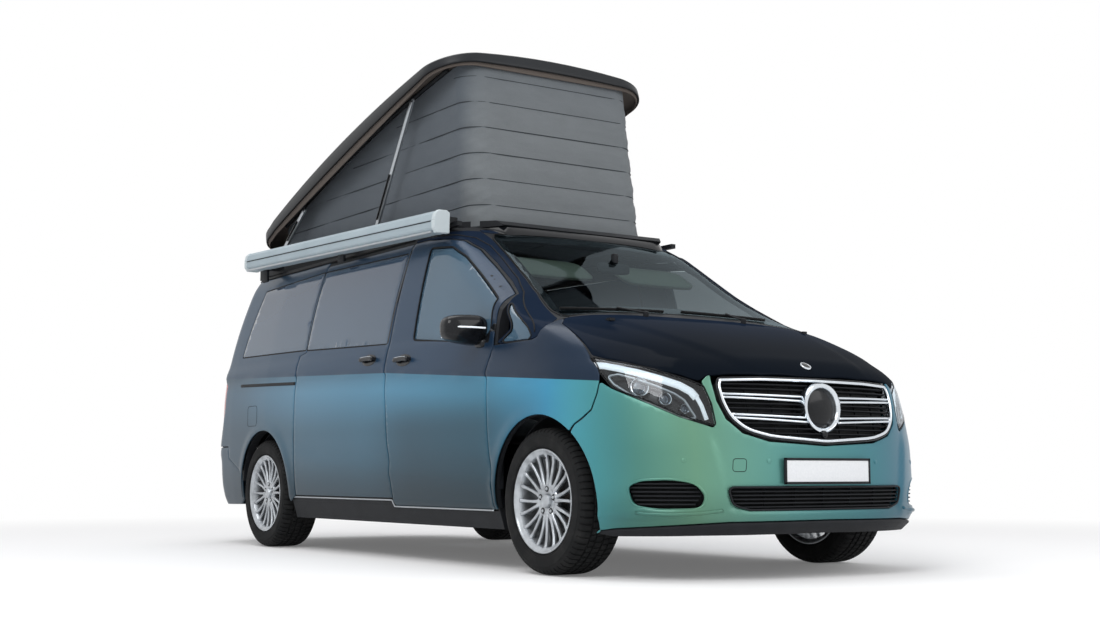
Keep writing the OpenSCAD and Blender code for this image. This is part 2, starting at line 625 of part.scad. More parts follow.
// ---- roof
hinge_x = -2390 * kx;
lid_start = 60;
function lid_half_at(u) = lid_half * (1 - 0.05 * (1 - u / lid_length) ^ 2) ;
function lid_plan(t) = let(a = lid_length - t, c = 260)
    let(s = concat(
        [for (q = [0:15:90]) [lid_start + t + (c - t) * (1 - cos(q)), (lid_half_at(0) - 260 + (260 - t) * sin(q))]],
        [for (k = [1:6]) let(u = c + (lid_length - 2 * c) * k / 7 + lid_start) [u, lid_half_at(u) - t]],
        [for (q = [90:-15:0]) [lid_length - 250 + (250 - t) * cos(q), lid_half - 250 + (250 - t) * sin(q)]]),
        n = len(s)) concat(s, [for (i = [n - 1:-1:0]) [s[i][0], -s[i][1]]]);
function lid_top(u, v) = lid_edge + lid_crown * (1 - ((u - 1400) / 1500) ^ 2) + lid_camber * (1 - (v / lid_half) ^ 2);
module lid_solid(t) {
    p = lid_plan(t);
    n = len(p);
    fs = [1, 0.96, 0.85, 0.65, 0.4, 0.15];
    mid = lid_start + lid_length / 2 - 40;
    rings = concat([[for (q = p) [q[0], q[1], t > 0 ? -5 : 0]]],
        [for (f = fs) [for (q = p) let(u = mid + (q[0] - mid) * f, v = q[1] * f) [u, v, lid_top(u, v) - t - (f == 1 ? 22 : 0)]]]);
    m = len(rings);
    polyhedron(concat([for (r = rings) each r], [[mid, 0, lid_top(mid, 0) - t]]),
        concat([[for (i = [n - 1:-1:0]) i]],
            [for (j = [0:m - 2]) for (i = [0:n - 1]) let(k = (i + 1) % n)
                each [[j * n + i, (j + 1) * n + k, (j + 1) * n + i], [j * n + i, j * n + k, (j + 1) * n + k]]],
            [for (i = [0:n - 1]) [(m - 1) * n + i, (m - 1) * n + (i + 1) % n, m * n]]));
}
module at_hinge(a) translate([hinge_x, 0, hinge_z]) rotate([0, -a, 0]) children();
module lid_hinge_arm() difference() {
    union() {
        translate([0, 450, 0]) rotate([-90, 0, 0]) cylinder(r = 9, h = 60, $fn = 32);
        translate([0, 455, 0.5]) cube([lid_start + 30, 50, 8.5]);
    }
    translate([0, 449, 0]) rotate([-90, 0, 0]) cylinder(r = 4 + fit, h = 62, $fn = 32);
}
module roof_panel() color(dark) at_hinge(lid_open) {
    meshed() difference() {
        lid_solid(0);
        lid_solid(lid_wall);
    }
    both() lid_hinge_arm();
}
tray_half = 712;
tray_front = 690 * kx;
module roof_tray() color(dark) {
    difference() {
        intersection() {
            translate([0, 800, 0]) rotate([90, 0, 0]) linear_extrude(1600)
                polygon([[-2330 * kx, roof_z], [-2330 * kx, tray_top(-2330 * kx)], [tray_front - 40, tray_top(tray_front - 40)],
                    [tray_front, tray_top(tray_front) - 24], [tray_front - 10, roof_z]]);
            translate([0, 0, roof_z - 10]) linear_extrude(400) polygon([[-2330 * kx, -tray_half + 100], [-2230 * kx, -tray_half],
                [380 * kx, -tray_half], [tray_front, -540], [tray_front, 540], [380 * kx, tray_half], [-2230 * kx, tray_half], [-2330 * kx, tray_half - 100]]);
        }
        translate([-2180 * kx, -640, roof_z - 60]) cube([2180 * kx + 560 * kx, 1280, 500]);
    }
    // hinge blocks and pins behind the tray
    both() {
        difference() {
            union() {
                translate([hinge_x - 10, 444, hinge_z - 40]) cube([24, 72, 47]);
                translate([hinge_x - 10, 444, hinge_z - 40]) cube([-2330 * kx - hinge_x + 10, 72, 24]);
            }
            translate([hinge_x - 20, 450 - fit, hinge_z - 14]) cube([100, 60 + 2 * fit, 90]);
        }
        translate([hinge_x, 443, hinge_z]) rotate([-90, 0, 0]) cylinder(r = 4, h = 74, $fn = 32);
        for (f = [front_foot, rear_foot]) {
            translate([f[0] - 22, 656, tray_top(f[0]) - 6]) cube([44, 15, f[1] - tray_top(f[0]) + 6 + 10]);
            translate([f[0], 660, f[1]]) rotate([-90, 0, 0]) cylinder(r = 5, h = strut_y + 7 - 660, $fn = 32);
        }
    }
}
function tray_top(x) = hinge_z + (x - hinge_x) * tan(lid_rest) - 8;

tent_y = 588;
module tent() color("#62676c") {
    r0 = -2150 * kx;
    r1 = 500 * kx;
    difference() {
        tent_solid(0);
        tent_solid(9);
    }
}
module tent_solid(t) {
    x0 = -2150 * kx + t;
    x1 = 500 * kx - t;
    x2 = 345 * kx - t;
    y = tent_y - t;
    rr = 130;
    base = roof_z + (t > 0 ? -5 : fit);
    function ring(xa, xb, zf) = concat(
        [for (q = [0:15:90]) [xb - rr + rr * cos(q), y - rr + rr * sin(q)]],
        [for (k = [1:3]) [xb - rr + (xa + rr - xb + rr) * k / 4, y]],
        [for (q = [90:15:180]) [xa + rr + rr * cos(q), y - rr + rr * sin(q)]]);
    s0 = ring(x0, x1, 0);
    s1 = ring(x0, x2, 0);
    full0 = concat(s0, [for (i = [len(s0) - 1:-1:0]) [s0[i][0], -s0[i][1]]]);
    full1 = concat(s1, [for (i = [len(s1) - 1:-1:0]) [s1[i][0], -s1[i][1]]]);
    n = len(full0);
    lift = t > 0 ? 40 : 12;
    pts = concat([for (p = full0) [p[0], p[1], base]],
        [for (p = full1) [p[0], p[1], hinge_z + (p[0] - hinge_x) * tan(lid_open) + lift]]);
    polyhedron(pts, concat([[for (i = [0:n - 1]) i]], [[for (i = [n - 1:-1:0]) n + i]],
        [for (i = [0:n - 1]) let(k = (i + 1) % n) each [[i, n + i, n + k], [i, n + k, k]]]));
}

// ---- roof struts: foot, length and raised angle
strut_y = 680;
front_foot = [-547 * kx, tray_top(-547 * kx) + 22];
front_len = 860;
front_up = 58;
rear_foot = [-1895 * kx, tray_top(-1895 * kx) + 30];
rear_len = 390;
rear_up = 35;
module strut(foot, l, a, s) color("#b3b6b9") at_left(s) translate([foot[0], strut_y, foot[1]]) rotate([0, -a, 0]) {
    difference() {
        union() {
            rotate([-90, 0, 0]) cylinder(d = 26, h = 12, center = true, $fn = 32);
            translate([8, -6, -strut_d / 2]) cube([l - 8, 12, strut_d]);
        }
        rotate([-90, 0, 0]) cylinder(d = 10 + 2 * fit, h = 20, center = true, $fn = 32);
    }
    translate([l, 0, 0]) rotate([-90, 0, 0]) cylinder(d = 22, h = 12, center = true, $fn = 32);
}
module roof_struts_front() for (s = [1, -1]) strut(front_foot, front_len, front_up, s);
module roof_struts_rear() for (s = [1, -1]) strut(rear_foot, rear_len, rear_up, s);

// ---- awning on the right side
awning_y = -890;
awning_x = 630 * kx;
awning_z = 1799;
awning_tilt = 1.79;
module awning() color("#c3c7ca") translate([awning_x, awning_y, awning_z]) rotate([0, awning_tilt, 0]) rotate([0, -90, 0])
    linear_extrude(awning_length) polygon([for (p = [[-0.5, 0.5], [0.4, 0.5], [0.5, 0.3], [0.5, -0.2], [0.34, -0.42], [0, -0.5], [-0.3, -0.48], [-0.5, -0.3]])
        [p[0] * awning_h, p[1] * awning_w]]);
module awning_brackets() color("#101214") {
    both() translate([-1990 * kx, 724, roof_z]) cube([2550 * kx, 30, 26]);
    for (x = [-1850, -700, 450]) translate([x * kx, awning_y + awning_w / 2 + fit, roof_z + 20]) cube([70, -730 - awning_y - awning_w / 2, 30]);
}

body_shell();
floor_pan();
bulkhead();
arch_liners();
side_sills();
front_fenders();
front_bumper();
front_carrier();
grilles();
headlights();
bonnet();
windscreen();
front_door_left();
front_door_right();
door_glass_left();
door_glass_right();
mirror_left();
mirror_right();
sliding_door();
side_windows();
tailgate();
tailgate_glass();
tail_lamps();
rear_bumper();
front_plate();
rear_plate();
tyre_front_left();
tyre_front_right();
tyre_rear_left();
tyre_rear_right();
rim_front_left();
rim_front_right();
rim_rear_left();
rim_rear_right();
knuckle_left();
knuckle_right();
front_axle();
rear_axle();
engine_block();
fuel_tank();
exhaust();
dashboard();
steering_wheel();
front_seats();
rear_bench();
kitchen_unit();
roof_tray();
roof_panel();
tent();
roof_struts_front();
roof_struts_rear();
awning();
awning_brackets();
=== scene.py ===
"""Camper van: paint, glass, lights, wheels, cabin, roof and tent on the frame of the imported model."""

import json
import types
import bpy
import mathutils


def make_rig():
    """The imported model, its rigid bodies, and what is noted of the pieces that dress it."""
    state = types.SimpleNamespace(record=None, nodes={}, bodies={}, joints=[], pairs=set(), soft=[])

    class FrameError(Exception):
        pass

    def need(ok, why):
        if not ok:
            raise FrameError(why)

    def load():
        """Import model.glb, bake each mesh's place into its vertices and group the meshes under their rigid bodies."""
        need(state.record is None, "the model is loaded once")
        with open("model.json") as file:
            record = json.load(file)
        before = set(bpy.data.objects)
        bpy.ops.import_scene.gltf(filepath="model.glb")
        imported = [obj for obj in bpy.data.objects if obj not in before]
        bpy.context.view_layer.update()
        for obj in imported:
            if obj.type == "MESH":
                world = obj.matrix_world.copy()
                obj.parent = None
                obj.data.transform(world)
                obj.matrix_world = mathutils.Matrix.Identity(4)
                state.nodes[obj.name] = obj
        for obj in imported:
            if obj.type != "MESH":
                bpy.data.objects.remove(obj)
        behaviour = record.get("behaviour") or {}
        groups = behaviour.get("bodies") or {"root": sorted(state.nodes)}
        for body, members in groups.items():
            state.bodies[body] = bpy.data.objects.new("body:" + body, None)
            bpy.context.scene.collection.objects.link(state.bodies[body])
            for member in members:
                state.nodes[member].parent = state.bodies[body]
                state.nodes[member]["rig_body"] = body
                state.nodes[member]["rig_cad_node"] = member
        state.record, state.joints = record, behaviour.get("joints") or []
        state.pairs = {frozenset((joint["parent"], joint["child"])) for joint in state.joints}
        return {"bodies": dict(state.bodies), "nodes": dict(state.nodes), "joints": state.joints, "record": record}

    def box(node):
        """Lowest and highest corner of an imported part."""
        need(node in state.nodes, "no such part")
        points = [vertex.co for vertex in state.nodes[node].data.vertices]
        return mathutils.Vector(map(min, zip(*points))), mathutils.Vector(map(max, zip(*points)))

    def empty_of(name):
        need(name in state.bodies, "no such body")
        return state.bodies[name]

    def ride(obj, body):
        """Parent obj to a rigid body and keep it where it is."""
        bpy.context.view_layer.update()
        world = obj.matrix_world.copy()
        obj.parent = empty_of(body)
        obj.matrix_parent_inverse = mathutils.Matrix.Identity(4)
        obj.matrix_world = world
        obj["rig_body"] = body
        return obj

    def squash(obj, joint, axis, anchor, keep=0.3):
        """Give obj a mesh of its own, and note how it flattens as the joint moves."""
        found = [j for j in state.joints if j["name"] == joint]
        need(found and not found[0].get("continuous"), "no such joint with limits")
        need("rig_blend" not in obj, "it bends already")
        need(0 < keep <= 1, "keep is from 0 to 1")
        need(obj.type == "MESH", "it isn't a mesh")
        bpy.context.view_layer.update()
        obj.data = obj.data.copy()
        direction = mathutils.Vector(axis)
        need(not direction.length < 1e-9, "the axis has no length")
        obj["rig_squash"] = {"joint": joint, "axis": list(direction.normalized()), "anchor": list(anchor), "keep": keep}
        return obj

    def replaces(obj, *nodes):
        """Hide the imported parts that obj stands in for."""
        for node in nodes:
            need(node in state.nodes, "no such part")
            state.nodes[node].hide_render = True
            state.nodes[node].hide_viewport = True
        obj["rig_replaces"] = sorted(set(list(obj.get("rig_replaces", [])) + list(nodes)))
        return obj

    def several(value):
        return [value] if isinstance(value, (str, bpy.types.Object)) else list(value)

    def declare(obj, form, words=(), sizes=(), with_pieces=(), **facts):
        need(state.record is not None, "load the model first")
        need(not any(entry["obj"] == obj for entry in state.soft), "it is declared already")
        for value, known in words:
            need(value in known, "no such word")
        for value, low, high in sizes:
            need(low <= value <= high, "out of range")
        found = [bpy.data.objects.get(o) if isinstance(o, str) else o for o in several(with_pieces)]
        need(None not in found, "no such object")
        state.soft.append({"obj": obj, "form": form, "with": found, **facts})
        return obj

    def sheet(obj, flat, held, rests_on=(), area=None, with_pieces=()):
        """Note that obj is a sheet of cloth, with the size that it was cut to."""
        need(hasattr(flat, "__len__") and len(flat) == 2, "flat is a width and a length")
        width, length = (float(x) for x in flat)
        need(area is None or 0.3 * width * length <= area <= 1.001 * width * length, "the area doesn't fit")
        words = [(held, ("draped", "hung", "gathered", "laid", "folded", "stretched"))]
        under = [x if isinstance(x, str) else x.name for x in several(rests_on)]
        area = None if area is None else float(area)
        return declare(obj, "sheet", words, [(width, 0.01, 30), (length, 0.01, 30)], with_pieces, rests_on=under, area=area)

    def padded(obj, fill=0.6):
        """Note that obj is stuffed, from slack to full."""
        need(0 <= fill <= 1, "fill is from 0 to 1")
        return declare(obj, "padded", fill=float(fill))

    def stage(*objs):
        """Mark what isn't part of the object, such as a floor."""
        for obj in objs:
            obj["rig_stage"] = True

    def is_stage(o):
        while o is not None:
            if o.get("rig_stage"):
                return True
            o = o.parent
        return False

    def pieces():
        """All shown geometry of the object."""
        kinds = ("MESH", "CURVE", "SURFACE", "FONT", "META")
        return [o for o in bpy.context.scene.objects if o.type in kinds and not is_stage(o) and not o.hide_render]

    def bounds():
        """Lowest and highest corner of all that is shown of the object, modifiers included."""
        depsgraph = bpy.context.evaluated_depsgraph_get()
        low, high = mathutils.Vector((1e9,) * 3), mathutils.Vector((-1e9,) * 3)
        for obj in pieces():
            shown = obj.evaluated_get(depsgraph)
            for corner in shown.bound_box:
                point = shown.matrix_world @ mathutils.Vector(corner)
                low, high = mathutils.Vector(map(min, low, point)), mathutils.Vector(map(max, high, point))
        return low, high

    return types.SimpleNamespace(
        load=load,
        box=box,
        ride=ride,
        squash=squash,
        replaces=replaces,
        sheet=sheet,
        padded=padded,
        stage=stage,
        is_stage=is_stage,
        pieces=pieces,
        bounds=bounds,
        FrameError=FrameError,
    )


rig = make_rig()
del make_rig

bl_info = {
    "name": "Camper Van",
    "version": (1, 0, 0),
    "blender": (4, 5, 0),
    "location": "3D Viewport > Sidebar > Camper",
    "description": "Builds a compact camper van with a raised sleeping roof",
    "category": "Add Mesh",
}

import json
import math
import sys

import bpy
import numpy as np
from mathutils import Matrix, Vector
from mathutils.geometry import delaunay_2d_cdt

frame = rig.load()
cad_box = [[float(v) for v in corner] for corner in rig.bounds()]
MM = 0.001
# what faces out is told from a line inside the body: this height, at this share of a place's distance forward
CORE_Z, CORE_SHARE = 700, 0.6

# ---------------------------------------------------------------- body surface, in millimetres
FRONT = ((190, 2490), (240, 2552), (300, 2562), (440, 2570), (560, 2566), (700, 2542), (860, 2500), (915, 2472),
         (960, 2415), (1010, 2300), (1100, 2060), (1180, 1830), (1252, 1600), (1776, 689), (1800, 640))
DEPTH = ((190, 850), (560, 915), (860, 900), (960, 850), (1050, 700), (1180, 480), (1252, 420), (1776, 420),
         (1800, 420))
POWER = ((190, 2.9), (560, 2.8), (860, 2.7), (960, 2.6), (1100, 3), (1252, 3), (1776, 3.2), (1800, 3.2))
WIDTH = ((190, 900), (240, 915), (320, 938), (500, 957), (700, 964), (900, 963), (1010, 957), (1100, 948),
         (1190, 934), (1400, 894), (1600, 845), (1700, 815), (1776, 775), (1800, 760))
REAR = ((190, -2470), (300, -2545), (420, -2570), (640, -2568), (760, -2540), (1000, -2530), (1200, -2508),
        (1400, -2465), (1600, -2405), (1776, -2335), (1800, -2320))
NARROW = ((-2570, 0.955), (-2100, 0.978), (-1500, 0.995), (-900, 1), (2600, 1))
REAR_DEPTH, REAR_POWER = 300, 2.4
AXLE_F, AXLE_R, AXLE_Z, ARCH = 1680, -1520, 339, 392
NOSE_TURN, TAIL_TURN = 1450, 1000
WHEEL_Y = 833
SIDES = ((1, "left"), (-1, "right"))


def prepare(points):
    """Slopes of a smooth curve through points that never overshoots them."""
    rise = [(b[1] - a[1]) / (b[0] - a[0]) for a, b in zip(points, points[1:])]
    slopes = [rise[0]]
    for i in range(1, len(points) - 1):
        if rise[i - 1] * rise[i] <= 0:
            slopes.append(0)
            continue
        a = points[i][0] - points[i - 1][0]
        b = points[i + 1][0] - points[i][0]
        slopes.append(3 * (a + b) / ((2 * b + a) / rise[i - 1] + (b + 2 * a) / rise[i]))
    return points, slopes + [rise[-1]]


PROFILES = {id(t): prepare(t) for t in (FRONT, DEPTH, POWER, WIDTH, REAR)}


def curve(value, table):
    points, slopes = PROFILES[id(table)]
    t = min(max(value, points[0][0]), points[-1][0])
    i = 0
    while i < len(points) - 2 and t >= points[i + 1][0]:
        i += 1
    h = points[i + 1][0] - points[i][0]
    s = (t - points[i][0]) / h
    return ((2 * s**3 - 3 * s**2 + 1) * points[i][1] + (s**3 - 2 * s**2 + s) * h * slopes[i]
            + (3 * s**2 - 2 * s**3) * points[i + 1][1] + (s**3 - s**2) * h * slopes[i + 1])


def straight(value, table):
    t = min(max(value, table[0][0]), table[-1][0])
    for (x0, y0), (x1, y1) in zip(table, table[1:]):
        if t <= x1:
            return y0 + (y1 - y0) * (t - x0) / (x1 - x0)
    return table[-1][1]


def half(x, z):
    return curve(z, WIDTH) * straight(x, NARROW)


def corner(phi, power):
    c, s = abs(math.cos(phi)), abs(math.sin(phi))
    r = (c**power + s**power) ** (-1 / power)
    return r * c, r * s


def nose(u, z):
    """Round the front: u runs from the centre line to the side and on towards the back, positive to the left."""
    a, p = curve(z, DEPTH), curve(z, POWER)
    back = curve(z, FRONT) - a
    if abs(u) >= NOSE_TURN:
        x = back - (abs(u) - NOSE_TURN)
        return Vector((x, math.copysign(half(x, z), u), z))
    c, s = corner(abs(u) / NOSE_TURN * math.pi / 2, p)
    return Vector((back + a * c, math.copysign(curve(z, WIDTH) * s, u), z))


def nose_x(x, z, side=1):
    a, p = curve(z, DEPTH), curve(z, POWER)
    back = curve(z, FRONT) - a
    if x <= back:
        return side * (NOSE_TURN + back - x)
    c = min((x - back) / a, 1)
    return side * math.atan2((1 - c**p) ** (1 / p), c) / (math.pi / 2) * NOSE_TURN


def nose_y(y, z):
    p = curve(z, POWER)
    s = min(abs(y) / curve(z, WIDTH), 1)
    return math.copysign(math.atan2(s, (1 - s**p) ** (1 / p)) / (math.pi / 2) * NOSE_TURN, y)


def tail(u, z):
    """Round the back, in the same way."""
    back = curve(z, REAR) + REAR_DEPTH
    if abs(u) >= TAIL_TURN:
        x = back + abs(u) - TAIL_TURN
        return Vector((x, math.copysign(half(x, z), u), z))
    c, s = corner(abs(u) / TAIL_TURN * math.pi / 2, REAR_POWER)
    x = back - REAR_DEPTH * c
    return Vector((x, math.copysign(half(x, z) * s, u), z))


def tail_x(x, z, side=1):
    back = curve(z, REAR) + REAR_DEPTH
    if x >= back:
        return side * (TAIL_TURN + x - back)
    c = min((back - x) / REAR_DEPTH, 1)
    return side * math.atan2((1 - c**REAR_POWER) ** (1 / REAR_POWER), c) / (math.pi / 2) * TAIL_TURN


def tail_y(y, z):
    x = curve(z, REAR) + 60
    for _ in range(3):
        s = min(abs(y) / half(x, z), 1)
        c = (1 - s**REAR_POWER) ** (1 / REAR_POWER)
        x = curve(z, REAR) + REAR_DEPTH * (1 - c)
    return math.copysign(math.atan2(s, c) / (math.pi / 2) * TAIL_TURN, y)


def flank_y(x, z):
    """Half width of the body at a place along its side."""
    if x > 1000 or x > curve(z, FRONT) - curve(z, DEPTH):
        return abs(nose(nose_x(x, z), z).y)
    return abs(tail(tail_x(x, z), z).y)


def flank(side):
    return lambda x, z: Vector((x, side * flank_y(x, z), z))


def deck(x, y):
    """Height of the bonnet over a place in plan."""
    low, high = 860.0, 1252.0
    for _ in range(22):
        mid = (low + high) / 2
        p, w, a = curve(mid, POWER), curve(mid, WIDTH), curve(mid, DEPTH)
        s = min(abs(y) / w, 1)
        edge = curve(mid, FRONT) - a + a * (1 - s**p) ** (1 / p)
        low, high = (mid, high) if edge > x else (low, mid)
    return Vector((x, y, (low + high) / 2))


# ---------------------------------------------------------------- small relief on the panels
def ease(t, low, high):
    s = min(max((t - low) / (high - low), 0), 1)
    return s * s * (3 - 2 * s)


def belt(x):
    """Height of the shoulder line, which is also where the two colours meet."""
    return min(1101 - 0.0375 * (x + 2172), 1014 - 0.072 * (x - 148))


def side_relief(p):
    x, z = p.x, p.z
    away = z - belt(x)
    fade = ease(x, -2560, -2300) * (1 - ease(x, 1750, 2020))
    base = 6 * (1 - ease(z, 1120, 1190)) * ease(z, 292, 330)
    out = fade * (base + 5 * (ease(away, -7, 3) * (1 - ease(away, 10, 130))) - 4
                  * (1 - ease(away, -7, 3)) * ease(away, -110, -14))
    low = 556 - 0.0565 * (x + 1100)
    if -1150 < x < 1260:
        mid = ease(x, -1150, -700)
        out += mid * (-6 * math.exp(-(((z - low - 62) / 52) ** 2)) + 4 * math.exp(-(((z - low + 12) / 34) ** 2)))
    out += 5 * math.exp(-(((z - 318) / 13) ** 2)) * ease(x, -1130, -1000) * (1 - ease(x, 1200, 1290))
    for axle in (AXLE_F, AXLE_R):
        r = math.hypot(x - axle, z - AXLE_Z - 6)
        out += 9 * (1 - ease(r, 404, 470)) * (1 - ease(z, 690, 830)) if z > 200 else 0
    return out


def bumper_relief(p):
    y, z = abs(p.y), p.z
    edge = 596 - 0.22 * max(620 - z, 0) + 0.1 * max(z - 620, 0)
    inner = (1 - ease(y, edge - 26, edge + 8)) * (1 - ease(z, 560, 700)) * ease(z, 262, 330)
    out = -13 * inner
    out += 7 * math.exp(-(((z - 282) / 22) ** 2))
    out += 10 * math.exp(-(((z - 296) / 16) ** 2)) * ease(y, 600, 660) * (1 - ease(y, 850, 890))
    r = math.hypot(p.x - AXLE_F, z - AXLE_Z - 6)
    return out + 9 * (1 - ease(r, 404, 470)) * (1 - ease(z, 690, 830))


def bonnet_relief(p):
    middle = 690 - 0.36 * (p.x - 1640)
    return 9 * (1 - ease(abs(p.y), middle - 70, middle)) * ease(p.x, 1600, 1800) * (1 - ease(p.x, 2380, 2470))


def tail_relief(p):
    y, z = abs(p.y), p.z
    out = -10 * (1 - ease(y, 330, 372)) * ease(z, 850, 876) * (1 - ease(z, 1012, 1040))
    return out + 5 * math.exp(-(((z - 1052) / 20) ** 2)) * (1 - ease(y, 640, 760))


# ---------------------------------------------------------------- outlines
def arc(cx, cz, r, first, last, count=24):
    return [(cx + r * math.cos(math.radians(first + (last - first) * i / count)),
             cz + r * math.sin(math.radians(first + (last - first) * i / count))) for i in range(count + 1)]


def area(loop):
    return sum(a[0] * b[1] - b[0] * a[1] for a, b in zip(loop, loop[1:] + loop[:1])) / 2


def softened(loop, radius):
    """The loop with its corners rounded."""
    out = []
    n = len(loop)
    for i in range(n):
        a, b, c = (Vector(loop[(i + k) % n]) for k in (-1, 0, 1))
        ab, bc = a - b, c - b
        if ab.length < 1e-6 or bc.length < 1e-6:
            continue
        turn = math.pi - ab.angle(bc)
        if turn < 0.12:
            out.append(tuple(b))
            continue
        d = min(radius * math.tan(turn / 2), 0.42 * ab.length, 0.42 * bc.length)
        s, e = b + ab.normalized() * d, b + bc.normalized() * d
        steps = 2 + int(turn * 3)
        for k in range(steps + 1):
            t = k / steps
            out.append(tuple(s * (1 - t) ** 2 + b * 2 * t * (1 - t) + e * t * t))
    return out


def dense(loop, step):
    out = []
    for a, b in zip(loop, loop[1:] + loop[:1]):
        n = max(1, math.ceil(math.dist(a, b) / step))
        if math.dist(a, b) < 0.4:
            continue
        out += [(a[0] + (b[0] - a[0]) * k / n, a[1] + (b[1] - a[1]) * k / n) for k in range(n)]
    return out


def steps(line, step):
    """An open line with points no further apart than step."""
    return [
        (a[0] + (b[0] - a[0]) * k / n, a[1] + (b[1] - a[1]) * k / n)
        for a, b in zip(line, line[1:]) for n in [max(1, math.ceil(math.dist(a, b) / step))]
            for k in range(n)] + [line[-1]]


def moved(loop, d):
    """The loop moved to its left by d at each point."""
    p = np.array(loop, float)
    ahead, behind = np.roll(p, -1, 0) - p, p - np.roll(p, 1, 0)
    t = ahead / np.linalg.norm(ahead, axis=1)[:, None] + behind / np.linalg.norm(behind, axis=1)[:, None]
    t /= np.maximum(np.linalg.norm(t, axis=1), 1e-9)[:, None]
    return p + np.stack([-t[:, 1], t[:, 0]], 1) * d


def inside(points, loop):
    x, y = points[:, 0][:, None], points[:, 1][:, None]
    a = np.array(loop, float)
    b = np.roll(a, -1, 0)
    cross = (a[:, 1] > y) != (b[:, 1] > y)
    with np.errstate(divide="ignore", invalid="ignore"):
        at = (b[:, 0] - a[:, 0]) * (y - a[:, 1]) / (b[:, 1] - a[:, 1]) + a[:, 0]
    return (np.sum(cross & (x < at), axis=1) % 2) == 1


def near(points, loop, distance):
    a = np.array(loop, float)
    b = np.roll(a, -1, 0)
    d = b - a
    length = np.maximum((d**2).sum(1), 1e-9)
    t = np.clip(((points[:, None, :] - a) * d).sum(2) / length, 0, 1)
    away = points[:, None, :] - (a + d * t[:, :, None])
    return (np.sqrt((away**2).sum(2)).min(1)) < distance


# ---------------------------------------------------------------- pieces
def outward(chart, a, b, p, reach=2):
    """The way out of the surface at p, which is its point (a, b)."""
    out = (chart(a + reach, b) - chart(a - reach, b)).cross(chart(a, b + reach) - chart(a, b - reach)).normalized()
    return -out if out.dot(p - Vector((p.x * CORE_SHARE, 0, CORE_Z))) < 0 else out


def made(name, verts, faces, look, body, smooth=True):
    mesh = bpy.data.meshes.new(name)
    mesh.from_pydata([tuple(v) for v in verts], [], faces)
    mesh.update()
    piece = bpy.data.objects.new(name, mesh)
    bpy.context.collection.objects.link(piece)
    piece.data.materials.append(finish(look))
    piece.data.polygons.foreach_set("use_smooth", [smooth] * len(piece.data.polygons))
    piece.data.update()
    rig.ride(piece, body)
    return piece


def panel(name, chart, loops, look, body="chassis", lift=2.5, roll=3.0, depth=5.0, step=26, radius=12, relief=None,
          swap=(), edge=16):
    """A pressed panel on the body's surface: loops are its outline and openings, with a rolled edge all round."""
    rings = []
    for k, loop in enumerate(loops):
        loop = dense(softened(list(loop), radius), edge)
        if (area(loop) > 0) != (k == 0):
            loop.reverse()
        rings.append(loop)
    arcs = ((roll, 0.0), (roll * 0.5, roll * 0.134), (roll * 0.134, roll * 0.5), (0.0, roll), (0.0, depth))
    inner = [moved(ring, roll) for ring in rings]
    low, high = np.array(rings[0]).min(0), np.array(rings[0]).max(0)
    rows = []
    for j, b in enumerate(np.arange(low[1], high[1] + step, step * 0.866)):
        rows += [(a + (j % 2) * step / 2, b) for a in np.arange(low[0], high[0] + step, step)]
    grid = np.array(rows)
    keep = inside(grid, inner[0])
    for ring in inner[1:]:
        keep &= ~inside(grid, ring)
    grid = grid[keep]
    for ring in inner:
        if len(grid):
            grid = grid[~near(grid, ring, step * 0.42)]
    coords, edges, starts = [], [], []
    for ring in inner:
        starts.append(len(coords))
        n = len(ring)
        edges += [(len(coords) + i, len(coords) + (i + 1) % n) for i in range(n)]
        coords += [tuple(p) for p in ring]
    coords += [tuple(p) for p in grid]
    verts2, _, tris, kept, _, _ = delaunay_2d_cdt([Vector(c) for c in coords], edges, [], 0, 1e-4)
    where = {}
    for new, old in enumerate(kept):
        for o in old:
            where[o] = new
    centres = np.array([[sum(verts2[i].x for i in t) / 3, sum(verts2[i].y for i in t) / 3] for t in tris])
    use = inside(centres, inner[0])
    for ring in inner[1:]:
        use &= ~inside(centres, ring)
    flat = [(v.x, v.y, 0.0) for v in verts2]
    faces = [list(t) for t, u in zip(tris, use) if u]
    for k, ring in enumerate(rings):
        n = len(ring)
        last = [where[starts[k] + i] for i in range(n)]
        for d, drop in arcs[1:]:
            line = moved(ring, d) if d else np.array(ring)
            fresh = list(range(len(flat), len(flat) + n))
            flat += [(p[0], p[1], drop) for p in line]
            faces += [[last[i], fresh[i], fresh[(i + 1) % n], last[(i + 1) % n]] for i in range(n)
                      if last[i] != last[(i + 1) % n]]
            last = fresh
    used = sorted({i for f in faces for i in f})
    index = {old: new for new, old in enumerate(used)}
    verts = []
    for i in used:
        a, b, drop = flat[i]
        p = chart(a, b)
        normal = outward(chart, a, b, p)
        out = lift - drop + (relief(p) if relief else 0)
        verts.append((p + normal * out) * MM)
    faces = [[index[i] for i in f] for f in faces]
    i, j, k = faces[0][:3]
    n = (verts[j] - verts[i]).cross(verts[k] - verts[i])
    if n.dot(verts[i] - Vector((verts[i].x * CORE_SHARE, 0, CORE_Z * MM))) < 0:
        faces = [f[::-1] for f in faces]
    piece = made(name, verts, faces, look, body)
    if swap:
        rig.replaces(piece, *swap)
    return piece


# ---------------------------------------------------------------- finishes
FLAKE = 0.0016


def linear(r, g, b):
    """A colour from its everyday 0 to 255 values."""
    return tuple(((c / 255 + 0.055) / 1.055) ** 2.4 if c > 10 else c / 255 / 12.92 for c in (r, g, b)) + (1.0,)


